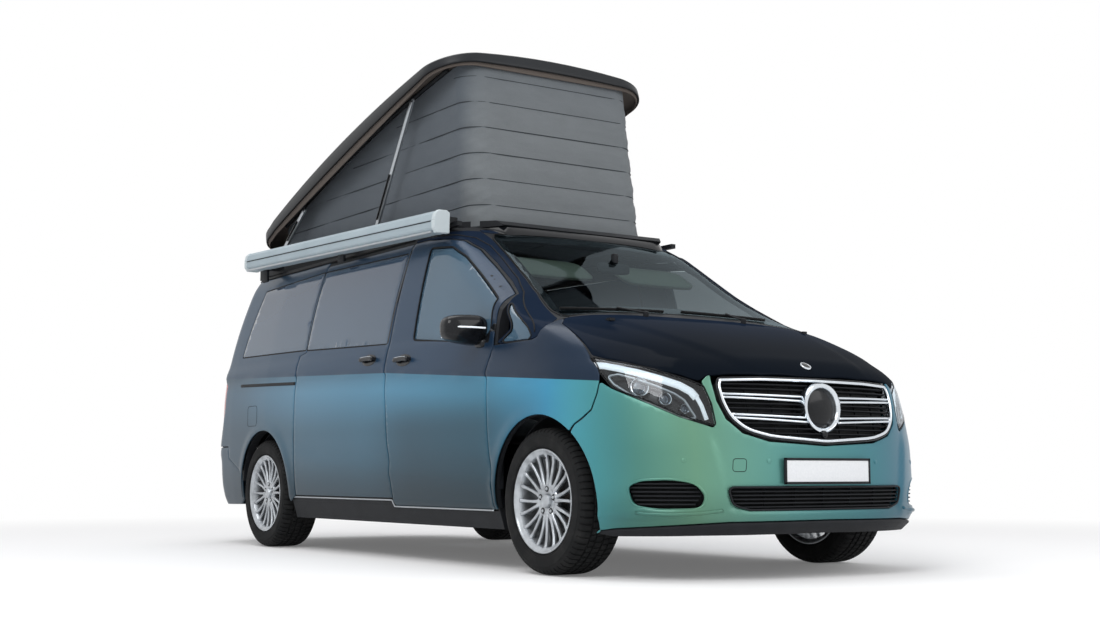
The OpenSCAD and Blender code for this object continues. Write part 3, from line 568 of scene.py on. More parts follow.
class Value:
    """A number or colour that flows between shader nodes; sums on it add Math nodes."""

    def __init__(self, look, socket):
        self.look, self.socket = look, socket

    def math(self, operation, *others):
        node = self.look.tree.nodes.new("ShaderNodeMath")
        node.operation = operation
        for slot, item in zip(node.inputs, (self,) + others):
            self.look.feed(slot, item)
        return Value(self.look, node.outputs[0])

    def __add__(self, other):
        return self.math("ADD", other)

    __radd__ = __add__

    def __mul__(self, other):
        return self.math("MULTIPLY", other)

    __rmul__ = __mul__

    def __sub__(self, other):
        return self.math("SUBTRACT", other)

    def __rsub__(self, other):
        return (self * -1) + other

    def least(self, other):
        return self.math("MINIMUM", other)

    def wave(self):
        return self.math("SINE")

    def within(self, low, high):
        """0 below low, 1 above high, smooth between."""
        return self.look.node("ShaderNodeMapRange", {"interpolation_type": "SMOOTHSTEP"},
                              {0: self, 1: low, 2: high, 3: 0.0, 4: 1.0})

    def colours(self, *stops):
        """A colour ramp: stops are (place, colour)."""
        node = self.look.tree.nodes.new("ShaderNodeValToRGB")
        ramp = node.color_ramp
        low, high = stops[0][0], stops[-1][0]
        while len(ramp.elements) < len(stops):
            ramp.elements.new(0.5)
        for element, (place, colour) in zip(ramp.elements, stops):
            element.position = (place - low) / (high - low)
            element.color = colour
        span = self.look.node("ShaderNodeMapRange", {}, {0: self, 1: low, 2: high, 3: 0.0, 4: 1.0})
        self.look.feed(node.inputs[0], span)
        return Value(self.look, node.outputs[0])


class Look:
    """One material and the nodes in it."""

    made = {}

    def __init__(self, name):
        self.material = bpy.data.materials.new(name)
        self.material.use_nodes = True
        self.tree = self.material.node_tree
        self.shader = self.tree.nodes["Principled BSDF"]
        self.output = self.tree.nodes["Material Output"]
        Look.made[name] = self.material

    def feed(self, slot, item):
        if isinstance(item, Value):
            self.tree.links.new(item.socket, slot)
        else:
            slot.default_value = item

    def node(self, kind, settings, sockets, out=0):
        node = self.tree.nodes.new(kind)
        for key, item in settings.items():
            setattr(node, key, item)
        for key, item in sockets.items():
            self.feed(node.inputs[key], item)
        return Value(self, node.outputs[out])

    def place(self, scale=(1, 1, 1)):
        """Object coordinates, stretched."""
        at = self.node("ShaderNodeTexCoord", {}, {}, "Object")
        if scale == (1, 1, 1):
            return at
        return self.node("ShaderNodeMapping", {}, {"Vector": at, "Scale": scale})

    def axes(self):
        split = self.tree.nodes.new("ShaderNodeSeparateXYZ")
        self.feed(split.inputs[0], self.place())
        return [Value(self, s) for s in split.outputs]

    def noise(self, size, detail=3.0, rough=0.5, scale=(1, 1, 1)):
        return self.node("ShaderNodeTexNoise", {},
                         {"Vector": self.place(scale), "Scale": 1 / size, "Detail": detail, "Roughness": rough})

    def cells(self, size, scale=(1, 1, 1)):
        return self.node("ShaderNodeTexVoronoi", {}, {"Vector": self.place(scale), "Scale": 1 / size})

    def mix(self, share, a, b):
        return self.node("ShaderNodeMix", {"data_type": "RGBA"}, {0: share, 6: a, 7: b}, 2)

    def shaded(self, colour, share):
        """The colour times a number."""
        return self.node("ShaderNodeVectorMath", {"operation": "SCALE"}, {0: colour, 3: share})

    def bump(self, height, distance, strength=1.0):
        return self.node("ShaderNodeBump", {}, {"Strength": strength, "Distance": distance, "Height": height})

    def set(self, **inputs):
        inputs.setdefault("Specular_IOR_Level", 0.2)
        for key, item in inputs.items():
            self.feed(self.shader.inputs[key.replace("_", " ")], item)
        return self.material


def user(group):
    """The user's sizes and colours: paint, roof, wheels, cabin or stage."""
    return getattr(bpy.context.scene, "van_" + group)


def finish(name):
    """The named material, made the first time that it is asked for."""
    if name in Look.made:
        return Look.made[name]
    if name in GRAINED:
        return grained(Look(name), *GRAINED[name])
    return globals()["finish_" + name](Look(name))


# Finishes of two tones under a fine grain: the grain, the noise that mixes the tones (None: the grain does),
# both tones, roughness and how much the grain adds to it, bump distance and strength, and any other inputs.
GRAINED = {
    "gloss_black": (("noise", 0.02, 4.0), None, (12, 14, 17), (22, 24, 28), 0.16, 0.08, (0.0001, 0.3),
                    {"Coat_Weight": 0.15, "Coat_Roughness": 0.04}),
    "black_plastic": (("cells", 0.0012), (0.08,), (20, 22, 25), (34, 36, 40), 0.52, 0.15, (0.00025, 0.6), {}),
    "rubber": (("noise", 0.006, 3.0), None, (14, 15, 17), (28, 29, 31), 0.68, 0.12, (0.0002, 0.5), {}),
    "under": (("noise", 0.012, 5.0), (0.15, 4.0), (24, 26, 28), (46, 47, 48), 0.55, 0.25, (0.0006, 0.6),
              {"Metallic": 0.3}),
    "satin_metal": (("noise", 0.003, 2.0, 0.5, (0.05, 1, 1)), None, (150, 155, 160), (192, 197, 201), 0.3, 0.18,
                    (0.00008, 0.5), {"Metallic": 0.85}),
    "awning_silver": (("cells", 0.0009), (0.3, 2.0), (150, 165, 173), (170, 184, 191), 0.42, 0.1, (0.00008, 0.4),
                      {"Metallic": 0.1}),
    "reflector": (("cells", 0.006), None, (168, 22, 20), (196, 38, 30), 0.16, 0, (0.0006, 0.5), {"Coat_Weight": 0.8}),
    "lid_paint": (("noise", 0.01, 3.0), (0.5, 2.0), (22, 25, 28), (30, 33, 37), 0.4, 0.1, (0.0002, 0.3),
                  {"Coat_Weight": 0.1, "Coat_Roughness": 0.25}),
    "plate_white": (("noise", 0.01, 3.0), None, (222, 225, 228), (238, 240, 242), 0.38, 0.1, None,
                    {"Coat_Weight": 0.2}),
    "trim": (("cells", 0.002), (0.1,), (26, 28, 31), (40, 42, 45), 0.6, 0.12, (0.0003, 0.6), {}),
    "pale_trim": (("noise", 0.002, 2.0), None, (150, 146, 134), (172, 168, 156), 0.8, 0, (0.0003, 0.5), {}),
    "liner": (("noise", 0.003, 4.0), None, (74, 68, 64), (108, 100, 94), 0.92, 0, (0.0008, 0.6), {}),
    "visor": (("noise", 0.004, 3.0), None, (112, 116, 100), (136, 138, 122), 0.7, 0, (0.0003, 0.5), {}),
    "lens": (("noise", 0.03, 1.0), None, (58, 66, 76), (96, 108, 120), 0.08, 0.05, None,
             {"Metallic": 0.5, "Coat_Weight": 1.0, "Coat_Roughness": 0.02}),
    "seam_tape": (("noise", 0.002, 2.0), None, (48, 52, 56), (66, 70, 74), 0.85, 0, (0.0003, 0.5), {}),
    "pale_plastic": (("cells", 0.0009), (0.1, 2.0), (186, 197, 201), (200, 209, 212), 0.5, 0.1, (0.00008, 0.4), {}),
    "lamp_white": (("noise", 0.012, 1.0), None, (198, 206, 212), (232, 238, 242), 0.25, 0.2, (0.001, 0.4),
                   {"Coat_Weight": 0.6, "Emission_Color": (0.9, 0.95, 1.0, 1.0), "Emission_Strength": 0.5}),
    "door_glass": (("noise", 0.5, 1.0), None, (66, 92, 112), (76, 104, 124), 0.06, 0, None,
                   {"Coat_Weight": 0.4, "Coat_Roughness": 0.02, "Alpha": 0.86}),
}


def grained(look, grain, tones, low, high, rough, gain, bump, more):
    """Makes a finish from its row of the table."""
    grain = getattr(look, grain[0])(*grain[1:])
    more = dict(more)
    if bump:
        more["Normal"] = look.bump(grain, *bump)
    return look.set(Base_Color=look.mix(look.noise(*tones) if tones else grain, linear(*low), linear(*high)),
                    Roughness=rough + grain * gain if gain else rough, **more)


def lower_colour(look, x, y, z):
    """The colour-shift paint: slate at the back, steel blue on the doors, bright blue on the wing,
    mint to deep teal across the nose, with painted shade low on the flank and along the foot of the nose."""
    flank_tone = x.colours((-2.6, linear(54, 76, 94)), (-1.9, linear(64, 94, 114)), (-0.9, linear(84, 130, 156)),
                           (0.4, user("paint").door_blue), (1.2, linear(66, 136, 166)), (1.75, user("paint").wing_blue),
                           (2.1, linear(84, 164, 168)))
    nose_tone = y.colours((-0.93, linear(70, 150, 158)), (-0.84, linear(92, 158, 146)), (-0.66, user("paint").mint),
                          (-0.5, linear(122, 184, 164)), (-0.2, linear(104, 176, 172)), (0.2, linear(88, 160, 168)),
                          (0.55, linear(70, 132, 156)), (0.9, linear(58, 112, 144)))
    tone = look.mix(x.within(1.7, 2.3), flank_tone, look.shaded(nose_tone, 0.62))
    low = look.noise(0.9, 1.0)
    # painted shade: the flank darkens towards its foot, more at the back and low on the front door; side sets its
    # strength along the van
    side = (1.0 - x.within(1.5, 2.0)) * (0.55 + x.within(-2.3, -1.6) * 0.45)
    down = (1.0 - (0.98 - z).within(0.0, 0.3) * 0.5 * side) * (1.0 - (0.66 - z).within(0.0, 0.34) * 0.62 * side)
    down = down * (1.0 - (0.95 - z).within(0.0, 0.3) * x.within(-0.2, 0.5) * (1.0 - x.within(1.1, 1.6)) * 0.45)
    # painted shade along the foot of the nose
    under = 1.0 - (1.0 - z.within(0.26, 0.44)) * 0.3 * x.within(1.9, 2.2)
    return look.shaded(tone, down * under * (0.93 + low * 0.14))


def split_height(x):
    return (1.101 - (x + 2.172) * 0.0375).least(1.014 - (x - 0.148) * 0.072)


def finish_two_tone_paint(look):
    """Satin colour-shift film below the shoulder line, dark slate film above it."""
    x, y, z = look.axes()
    above = (z - split_height(x)).within(-0.0015, 0.0015)
    dark = x.colours((-2.6, linear(44, 68, 88)), (-0.9, linear(36, 62, 86)), (0.6, user("paint").upper),
                     (1.6, linear(20, 38, 58)))
    # painted shade: a darker band of the lower colour just under the shoulder line
    fade = (z - split_height(x)).within(-0.11, 0.0)
    lower = look.shaded(lower_colour(look, x, y, z), 1.0 - fade * 0.28 * (1.0 - x.within(1.0, 1.5)))
    grain = look.cells(FLAKE)
    return look.set(Base_Color=look.mix(above, lower, dark), Metallic=0.25,
                    Roughness=0.36 + grain * 0.06 - above * 0.05,
                    Coat_Weight=0.2 - above * 0.1, Coat_Roughness=0.12, Normal=look.bump(grain, 0.00004, 0.5))


def finish_nose_paint(look):
    """The same film on the front bumper."""
    x, y, z = look.axes()
    grain = look.cells(FLAKE)
    return look.set(Base_Color=lower_colour(look, x, y, z), Metallic=0.35, Roughness=0.33 + grain * 0.06,
                    Coat_Weight=0.2,
                    Coat_Roughness=0.1, Normal=look.bump(grain, 0.00004, 0.5))


def finish_dark_paint(look):
    """Blue-black paint of the bonnet, pillars and roof."""
    x = look.axes()[0]
    grain = look.cells(FLAKE)
    tone = look.mix(x.within(1.5, 2.3), linear(26, 37, 54), linear(14, 20, 28))
    return look.set(Base_Color=look.shaded(tone, 0.9 + look.noise(0.4, 2.0) * 0.2), Roughness=0.3 + grain * 0.05,
                    Coat_Weight=0.05, Coat_Roughness=0.11, Specular_IOR_Level=0.0,
                    Normal=look.bump(grain, 0.00003, 0.5))


def finish_iron(look):
    grain = look.noise(0.008, 5.0)
    rust = look.noise(0.09, 4.0).within(0.52, 0.74)
    return look.set(Base_Color=look.mix(rust, linear(66, 68, 70), linear(92, 74, 60)), Metallic=0.8 - rust * 0.5,
                    Roughness=0.45 + grain * 0.3, Normal=look.bump(grain, 0.0005, 0.6))


def finish_chrome(look):
    grain = look.noise(0.03, 2.0)
    return look.set(Base_Color=linear(214, 220, 226), Metallic=1.0, Roughness=0.1 + grain * 0.07)


def finish_alloy(look):
    """Painted alloy with patches of brake dust."""
    grain = look.noise(0.05, 4.0)
    return look.set(Base_Color=look.mix(grain.within(0.3, 0.75), user("wheels").alloy, linear(150, 154, 158)),
                    Metallic=0.75,
                    Roughness=0.26 + grain * 0.14, Coat_Weight=0.4, Coat_Roughness=0.1)


def finish_tyre(look):
    grain = look.noise(0.004, 4.0)
    dust = look.noise(0.07, 3.0).within(0.4, 0.8)
    return look.set(Base_Color=look.mix(dust, linear(22, 23, 24), linear(38, 38, 38)), Roughness=0.78 + grain * 0.12,
                    Normal=look.bump(grain, 0.0003, 0.6))


def finish_privacy_glass(look):
    """Tinted rear glass with painted reflection: slate blue, darker towards the top, with faint blotches."""
    z = look.axes()[2]
    # painted reflection: the pane is lighter low down and darker towards the top, with faint painted blotches
    tone = z.colours((1.15, linear(70, 88, 106)), (1.45, linear(60, 78, 98)), (1.72, linear(46, 64, 86)))
    ghost = look.noise(0.5, 1.0)
    return look.set(Base_Color=look.shaded(tone, 0.94 + ghost * 0.12), Metallic=0.0, Roughness=0.07 + ghost * 0.03,
                    Coat_Weight=0.4,
                    Coat_Roughness=0.02)


def glass_finish(look, tint, gloss, thin):
    """Glass as a tinted clear sheet with a mirror that grows towards the edge of view."""
    look.tree.nodes.remove(look.shader)
    clear = look.tree.nodes.new("ShaderNodeBsdfTransparent")
    clear.inputs[0].default_value = tint
    mirror = look.tree.nodes.new("ShaderNodeBsdfGlossy")
    mirror.inputs["Color"].default_value = gloss
    mirror.inputs["Roughness"].default_value = 0.03
    fresnel = look.node("ShaderNodeFresnel", {}, {"IOR": 1.5})
    share = fresnel * thin + look.noise(0.6, 1.0) * 0.02
    mix = look.tree.nodes.new("ShaderNodeMixShader")
    look.feed(mix.inputs[0], share)
    look.tree.links.new(clear.outputs[0], mix.inputs[1])
    look.tree.links.new(mirror.outputs[0], mix.inputs[2])
    look.tree.links.new(mix.outputs[0], look.output.inputs[0])
    return look.material


def finish_screen_glass(look):
    return glass_finish(look, linear(186, 202, 206), (0.42, 0.5, 0.55, 1), 0.6)


def finish_lamp_cover(look):
    return glass_finish(look, linear(236, 242, 244), (0.95, 0.97, 1, 1), 0.8)


def finish_lamp_red(look):
    z = look.axes()[2]
    ribs = (z * 900.0).wave()
    return look.set(Base_Color=look.mix(z.within(0.8, 0.84), linear(196, 190, 188), linear(170, 24, 22)),
                    Roughness=0.14, Coat_Weight=0.9,
                    Normal=look.bump(ribs, 0.0004, 0.5))


def weave(look, pitch, spread=1.0):
    """Over-and-under threads across three axes."""
    x, y, z = look.axes()
    rate = 2 * math.pi / pitch
    return ((x * rate).wave() * (z * rate).wave() + (y * rate).wave() * (z * rate * spread).wave()) * 0.5 + 0.5


def finish_seat_cloth(look):
    threads = weave(look, 0.004)
    tone = look.mix(look.noise(0.2, 3.0), linear(44, 46, 50), user("cabin").seat)
    return look.set(Base_Color=look.mix(threads * 0.35, tone, linear(82, 84, 88)), Roughness=0.88, Sheen_Weight=0.25,
                    Normal=look.bump(threads, 0.0006, 0.7))


def finish_canvas(look):
    """Coated tent cloth: a fine weave with soft creases, painted shade along the creases, and a side painted darker and
    bluer as shade.
    """
    x = look.axes()[0]
    threads = weave(look, 0.0032, 0.9)
    crease = look.noise(0.16, 5.0, 0.6, (1, 1, 2.2))
    # painted shade: the side is darker and bluer than the front
    front = x.within(0.26, 0.42)
    tone = look.mix(front, linear(86, 93, 100), user("roof").cloth)
    # painted shade along the creases; the weave's threads are their own pattern
    tone = look.shaded(tone, 0.86 + crease * 0.24 + threads * 0.06)
    return look.set(Base_Color=tone, Roughness=0.8 + threads * 0.08, Sheen_Weight=0.15,
                    Normal=look.bump(threads * 0.25 + crease * 3.0, 0.0035, 0.45))


def finish_wood(look):
    x, _, z = look.axes()
    rings = (x * 3.0 + z * 60.0 + look.noise(0.25, 3.0) * 9.0).wave()
    return look.set(Base_Color=look.mix(rings * 0.5 + 0.5, linear(168, 146, 116), user("cabin").board), Roughness=0.5,
                    Normal=look.bump(rings, 0.0002, 0.4))


# ---------------------------------------------------------------- hand tools
def fresh():
    bpy.ops.object.select_all(action="DESELECT")


def about(pivot, degrees):
    """A turn about Y round a pivot."""
    pivot = Vector(pivot)
    return Matrix.Translation(pivot) @ Matrix.Rotation(math.radians(degrees), 4, "Y") @ Matrix.Translation(-pivot)


def scaled(profile):
    return [(r * MM, h * MM) for r, h in profile]


def picked(piece):
    """Only this piece selected, and active."""
    fresh()
    bpy.context.view_layer.objects.active = piece
    piece.select_set(True)


def facing_out(piece):
    picked(piece)
    bpy.ops.object.mode_set(mode="EDIT")
    bpy.ops.mesh.select_all(action="SELECT")
    bpy.ops.mesh.normals_make_consistent(inside=False)
    bpy.ops.object.mode_set(mode="OBJECT")
    piece.select_set(False)


def settle(name, look, body, smooth=35, bevel=0, segments=2, subsurf=0):
    """Names the piece just modelled, finishes its edges and leaves its place in its mesh."""
    piece = bpy.context.object
    piece.name = piece.data.name = name
    bpy.ops.object.transform_apply(location=True, rotation=True, scale=True)
    if bevel:
        m = piece.modifiers.new("Edges", "BEVEL")
        m.width, m.segments, m.limit_method, m.angle_limit = bevel, segments, "ANGLE", math.radians(40)
        bpy.ops.object.modifier_apply(modifier=m.name)
    if subsurf:
        m = piece.modifiers.new("Smooth", "SUBSURF")
        m.levels = m.render_levels = subsurf
        bpy.ops.object.modifier_apply(modifier=m.name)
    bpy.ops.object.shade_smooth_by_angle(angle=math.radians(smooth))
    piece.data.materials.clear()
    piece.data.materials.append(finish(look))
    piece.select_set(False)
    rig.ride(piece, body)
    return piece


def block(name, low, high, look, body, bevel=0.003, segments=2, turn=None, subsurf=0):
    """A rounded block between two corners; turn is (degrees about Y, pivot)."""
    fresh()
    low, high = Vector(low), Vector(high)
    bpy.ops.mesh.primitive_cube_add(size=1, location=(low + high) / 2, scale=high - low)
    piece = bpy.context.object
    bpy.ops.object.transform_apply(location=True, rotation=True, scale=True)
    if turn:
        piece.data.transform(about(turn[1], turn[0]))
    return settle(name, look, body, bevel=bevel, segments=segments, subsurf=subsurf)


def turned(name, profile, centre, axis, look, body, steps=48, smooth=35):
    """A profile of (radius, height) spun round an axis."""
    fresh()
    axis = Vector(axis).normalized()
    side = axis.orthogonal().normalized()
    mesh = bpy.data.meshes.new(name)
    points = [Vector(centre) + side * r + axis * h for r, h in profile]
    mesh.from_pydata(points, [(i, i + 1) for i in range(len(points) - 1)], [])
    piece = bpy.data.objects.new(name, mesh)
    bpy.context.collection.objects.link(piece)
    bpy.context.view_layer.objects.active = piece
    piece.select_set(True)
    bpy.ops.object.mode_set(mode="EDIT")
    bpy.ops.mesh.select_all(action="SELECT")
    bpy.ops.mesh.spin(steps=steps, angle=2 * math.pi, center=Vector(centre), axis=axis)
    bpy.ops.mesh.select_all(action="SELECT")
    bpy.ops.mesh.remove_doubles(threshold=0.00005)
    bpy.ops.mesh.normals_make_consistent(inside=False)
    bpy.ops.object.mode_set(mode="OBJECT")
    return settle(name, look, body, smooth=smooth)


def tube(name, points, radius, look, body, sides=3, closed=False, taper=None):
    """A round bar along points."""
    fresh()
    data = bpy.data.curves.new(name, "CURVE")
    data.dimensions, data.bevel_depth, data.bevel_resolution, data.use_fill_caps = "3D", radius, sides, True
    line = data.splines.new("POLY")
    line.points.add(len(points) - 1)
    for k, p in enumerate(points):
        line.points[k].co = (*p, 1)
        line.points[k].radius = taper[k] if taper else 1
    line.use_cyclic_u = closed
    piece = bpy.data.objects.new(name, data)
    bpy.context.collection.objects.link(piece)
    bpy.context.view_layer.objects.active = piece
    piece.select_set(True)
    bpy.ops.object.convert(target="MESH")
    return settle(name, look, body, smooth=50)


def pillow(name, low, high, look, body, power=3.2, cuts=10, turn=None, shape=None):
    """A soft or moulded form that fills a box with rounded sides."""
    fresh()
    low, high = Vector(low), Vector(high)
    bpy.ops.mesh.primitive_cube_add(size=2)
    bpy.ops.object.mode_set(mode="EDIT")
    bpy.ops.mesh.subdivide(number_cuts=cuts)
    bpy.ops.object.mode_set(mode="OBJECT")
    piece = bpy.context.object
    centre, size = (low + high) / 2, (high - low) / 2
    for v in piece.data.vertices:
        d = Vector([math.tan(c * math.pi / 4) for c in v.co])
        r = sum(abs(c) ** power for c in d) ** (-1 / power)
        p = d * r
        if shape:
            p = Vector(shape(p))
        v.co = centre + Vector([p[k] * size[k] for k in range(3)])
    if turn:
        piece.data.transform(about(turn[1], turn[0]))
    return settle(name, look, body, smooth=180)


def joined(pieces, name):
    """Several pieces made one; they ride as the first one does."""
    fresh()
    for p in pieces:
        p.select_set(True)
    bpy.context.view_layer.objects.active = pieces[0]
    if len(pieces) > 1:
        bpy.ops.object.join()
    pieces[0].name = pieces[0].data.name = name
    pieces[0].select_set(False)
    return pieces[0]


def ribbon(name, chart, line, width, height, look, body, lift=0.0, closed=True, sides=8, relief=None):
    """A seal or bar of oval section laid along a line on the body's surface."""
    verts, faces = [], []
    n = len(line)
    for k, (a, b) in enumerate(line):
        p = chart(a, b)
        normal = outward(chart, a, b, p)
        nxt = line[(k + 1) % n] if closed or k < n - 1 else line[k]
        prv = line[(k - 1) % n] if closed or k > 0 else line[k]
        along = (chart(*nxt) - chart(*prv)).normalized()
        across = along.cross(normal).normalized()
        base = p + normal * (lift + (relief(p) if relief else 0))
        for j in range(sides):
            t = 2 * math.pi * j / sides
            verts.append((base + across * math.cos(t) * width / 2 + normal * math.sin(t) * height / 2) * MM)
    for k in range(n if closed else n - 1):
        for j in range(sides):
            a, b = k * sides + j, k * sides + (j + 1) % sides
            c, d = ((k + 1) % n) * sides + (j + 1) % sides, ((k + 1) % n) * sides + j
            faces.append([a, d, c, b])
    if not closed:
        faces += [list(range(sides)), list(range((n - 1) * sides, n * sides))[::-1]]
    piece = made(name, verts, faces, look, body)
    facing_out(piece)
    return piece


def seal(name, chart, loop, body, width=9, height=6, lift=2.5, radius=30, relief=None):
    line = dense(softened(list(loop), radius), 18)
    return ribbon(name, chart, line, width, height, "rubber", body, lift, relief=relief)


# ---------------------------------------------------------------- outlines of the panels
# in the side view (x, z) or an end view (y, z); the bonnet is in plan
DOOR = ((228, 292), (142, 1019), (150, 1171), (172, 1742), (330, 1740), (560, 1718), (656, 1700), (793, 1636),
        (939, 1544),
        (1120, 1427), (1236, 1354), (1262, 1086), (1211, 959), (1228, 700), (1263, 337), (1265, 292))
DOOR_PANE = ((418, 1176), (398, 1688), (620, 1668), (770, 1598), (920, 1504), (1060, 1414), (1192, 1330), (1220, 1104),
             (1080, 1112))
QUARTER = ((1290, 1092), (1276, 1316), (1480, 1190), (1584, 1110), (1560, 1090))
SLIDER = ((-1044, 332), (-1040, 1186), (-948, 1204), (-938, 1742), (166, 1742), (144, 1171), (136, 1019), (222, 332))
PANE_1 = ((-952, 1212), (-936, 1706), (140, 1690), (118, 1174))
PANE_2 = ((-2027, 1236), (-1868, 1680), (-948, 1707), (-962, 1214))
LAMP = ((1981, 987), (2207, 937), (2375, 871), (2411, 845), (2443, 766), (2468, 668), (2381, 717), (2285, 775),
        (2128, 845), (2059, 912))
GRILLE = ((0, 594), (322, 614), (440, 646), (506, 704), (534, 780), (536, 850), (520, 886), (322, 893), (0, 895))
LOWER = softened(((-534, 408), (-508, 328), (-430, 306), (430, 306), (508, 328), (534, 408)), 40)
INTAKE = softened(((2221, 410), (2271, 434), (2380, 440), (2440, 424), (2462, 366), (2447, 316), (2330, 312),
                   (2235, 330)), 300)
BONNET = ((1640, 0), (1640, 700), (1650, 800), (1700, 846), (1831, 862), (1981, 877), (2060, 849), (2130, 816),
          (2207, 773),
          (2290, 719), (2372, 630), (2394, 598), (2402, 558), (2424, 490), (2447, 400), (2466, 300), (2480, 100),
          (2481, 0))
SCREEN = ((0, 1262), (400, 1250), (640, 1228), (800, 1204), (712, 1353), (678, 1448), (660, 1544), (650, 1622),
          (632, 1712),
          (596, 1748), (0, 1764))
GATE = ((0, 648), (740, 648), (790, 722), (800, 1010), (775, 1300), (690, 1720), (640, 1738), (0, 1746))
GATE_PANE = ((0, 1120), (690, 1130), (720, 1180), (640, 1620), (600, 1652), (0, 1662))
TAIL_LAMP = ((806, 756), (806, 1086), (880, 1094), (930, 1060), (944, 900), (930, 760))


def both_ways(points):
    """A half outline from the centre line, made whole."""
    return list(points) + [(-a, b) for a, b in reversed(points) if abs(a) > 1]


def round_nose(points, side=1):
    """Points of the side view (x, z) on the front's chart."""
    return [(nose_x(x, z, side), z) for x, z in points]


def across_nose(points):
    """Points of the front view (y, z) on the front's chart."""
    return [(nose_y(y, z), z) for y, z in points]


def round_tail(points, side=1):
    """Points of the side view (x, z) on the back's chart."""
    return [(tail_x(x, z, side), z) for x, z in points]


def across_tail(points):
    """Points of the back view (y, z) on the back's chart."""
    return [(tail_y(y, z), z) for y, z in points]


def between(a, b, t):
    return a[0] + (b[0] - a[0]) * t, a[1] + (b[1] - a[1]) * t


def shrunk(loop, d):
    loop = dense(softened(list(loop), 14), 20)
    if area(loop) < 0:
        loop.reverse()
    return [tuple(p) for p in moved(loop, d)]


# ---------------------------------------------------------------- body panels
def make_sides():
    paint, dark = "two_tone_paint", "dark_paint"
    arch_front = arc(AXLE_F, AXLE_Z + 6, ARCH, 187, 8, 44)
    arch_rear = arc(AXLE_R, AXLE_Z + 6, ARCH, 2, 176, 44)
    for s, name in SIDES:
        # front wing, up to the windscreen's foot
        edge = [(1269, 292), (1267, 337), (1232, 700), (1216, 959), (1266, 1086), (1600, 1090), (1634, 1100),
                (1650, 1186)]
        wing = round_nose(steps(edge, 40), s)
        top = [deck(x, y) for x, y in ((1655, 806), (1702, 852), (1831, 867), (1900, 874))]
        wing += [(s * nose_y(p.y, p.z), p.z) for p in top]
        lamp_low = [(1974, 992), (1984, 976), (2059, 908), (2064, 878)]
        wing += round_nose(lamp_low, s)
        wing += round_nose([(2058, 820), (2034, 750), (1990, 718), (1945, 690)], s)
        wing += round_nose([p for p in arch_front[::-1] if p[1] > 292 and p[0] < 1935], s)
        panel("wing_skin_" + name, nose, [wing], paint, step=24, radius=8, relief=side_relief)
        # windscreen pillar round the quarter pane
        inner = [(1268, 1096), (1244, 1356), (1126, 1433), (945, 1550), (798, 1642), (660, 1706), (560, 1724),
                 (330, 1746), (172, 1748)]
        outer = [(172, 1770), (560, 1774)]
        frame_edge = [(s * nose_y(y, z), z) for y, z in ((640, 1768), (640, 1712), (656, 1622), (668, 1544),
                                                         (688, 1448), (722, 1353),
                                                          (790, 1242), (826, 1196))]
        pillar = round_nose(inner, s) + round_nose(outer, s) + frame_edge
        pillar += round_nose([(1640, 1110), (1600, 1096)], s)
        panel("pillar_skin_" + name, nose, [pillar, round_nose(QUARTER, s)], dark, step=24, radius=10)
        panel("quarter_pane_" + name, nose, [shrunk(round_nose(QUARTER, s), 4)], "door_glass", lift=0.5, step=24,
              radius=12)
        seal("quarter_seal_" + name, nose, round_nose(QUARTER, s), "chassis")
        # front door with its window
        door = "door_" + name
        panel("door_skin_" + name, flank(s), [shrunk(DOOR, 0.5), DOOR_PANE], paint, door, radius=16, relief=side_relief,
              step=24)
        panel("door_pane_" + name, flank(s), [shrunk(DOOR_PANE, 5)], "door_glass", door, lift=-2, radius=20, step=40,
              swap=["door_glass_" + name])
        seal("door_seal_" + name, flank(s), DOOR_PANE, door, 11, 7)
        # flank behind the door
        rear = [(tail_x(x, z, s), z) for x, z in arch_rear if z > 300 and x > -1905]
        foot = [(-1918, 300), (-1912, 420), (-1916, 470), (-2140, 566), (-2152, 646)]
        hind = round_tail(steps(foot, 60), s) + [(tail_y(s * 798, 646), 646)]
        edge = [(s * 798, 724), (s * 808, 1010), (s * 783, 1300), (s * 698, 1720), (s * 650, 1742), (s * 640, 1772)]
        hind += across_tail(edge)
        lamp = [(tail_y(s * y, z), z) for y, z in TAIL_LAMP]
        pane_2 = round_tail(PANE_2, s)
        if s < 0:
            front = [(-932, 1772), (-932, 1740), (-942, 1202), (-1034, 1184), (-1038, 332), (-1118, 292)]
            outline = [(tail_x(x - 12, z, s), z) for x, z in steps(front, 80)] + rear + hind
        else:
            front = [(166, 1772), (166, 1742), (144, 1171), (136, 1019), (222, 292), (-1120, 292)]
            outline = round_tail(steps(front, 80), s) + rear + hind
        holes = [pane_2, lamp] + ([round_tail(PANE_1, s)] if s > 0 else [])
        panel("quarter_skin_" + name, tail, [outline] + holes, paint, radius=10, relief=side_relief, step=26)
        panel("rear_pane_" + name, tail, [shrunk(pane_2, 5)], "privacy_glass", lift=3.2, radius=46, step=40)
        seal("rear_pane_seal_" + name, tail, pane_2, "chassis", 10, 5, 0.6, 14)
        panel("tail_lamp_" + name, tail, [shrunk(lamp, 3)], "lamp_red", lift=4, roll=5, radius=14, step=22)
    make_slider()


def make_slider():
    paint = "two_tone_paint"
    panel("slider_skin", flank(-1), [shrunk(SLIDER, 2.5), PANE_1], paint, radius=16, relief=side_relief, step=26)
    panel("middle_pane_right", flank(-1), [shrunk(PANE_1, 5)], "privacy_glass", lift=3.2, radius=30, step=40,
          swap=["side_windows"])
    panel("middle_pane_left", flank(1), [shrunk(PANE_1, 5)], "privacy_glass", lift=3.2, radius=30, step=40)
    for s, name in SIDES:
        seal("middle_pane_seal_" + name, flank(s), PANE_1, "chassis", 10, 5, 0.6, 14)


def make_bonnet():
    outline = list(BONNET) + [(x, -y) for x, y in reversed(BONNET) if y > 1]
    panel("bonnet_skin", deck, [outline], "dark_paint", "bonnet", roll=5, depth=9, radius=30, relief=bonnet_relief,
          step=26)


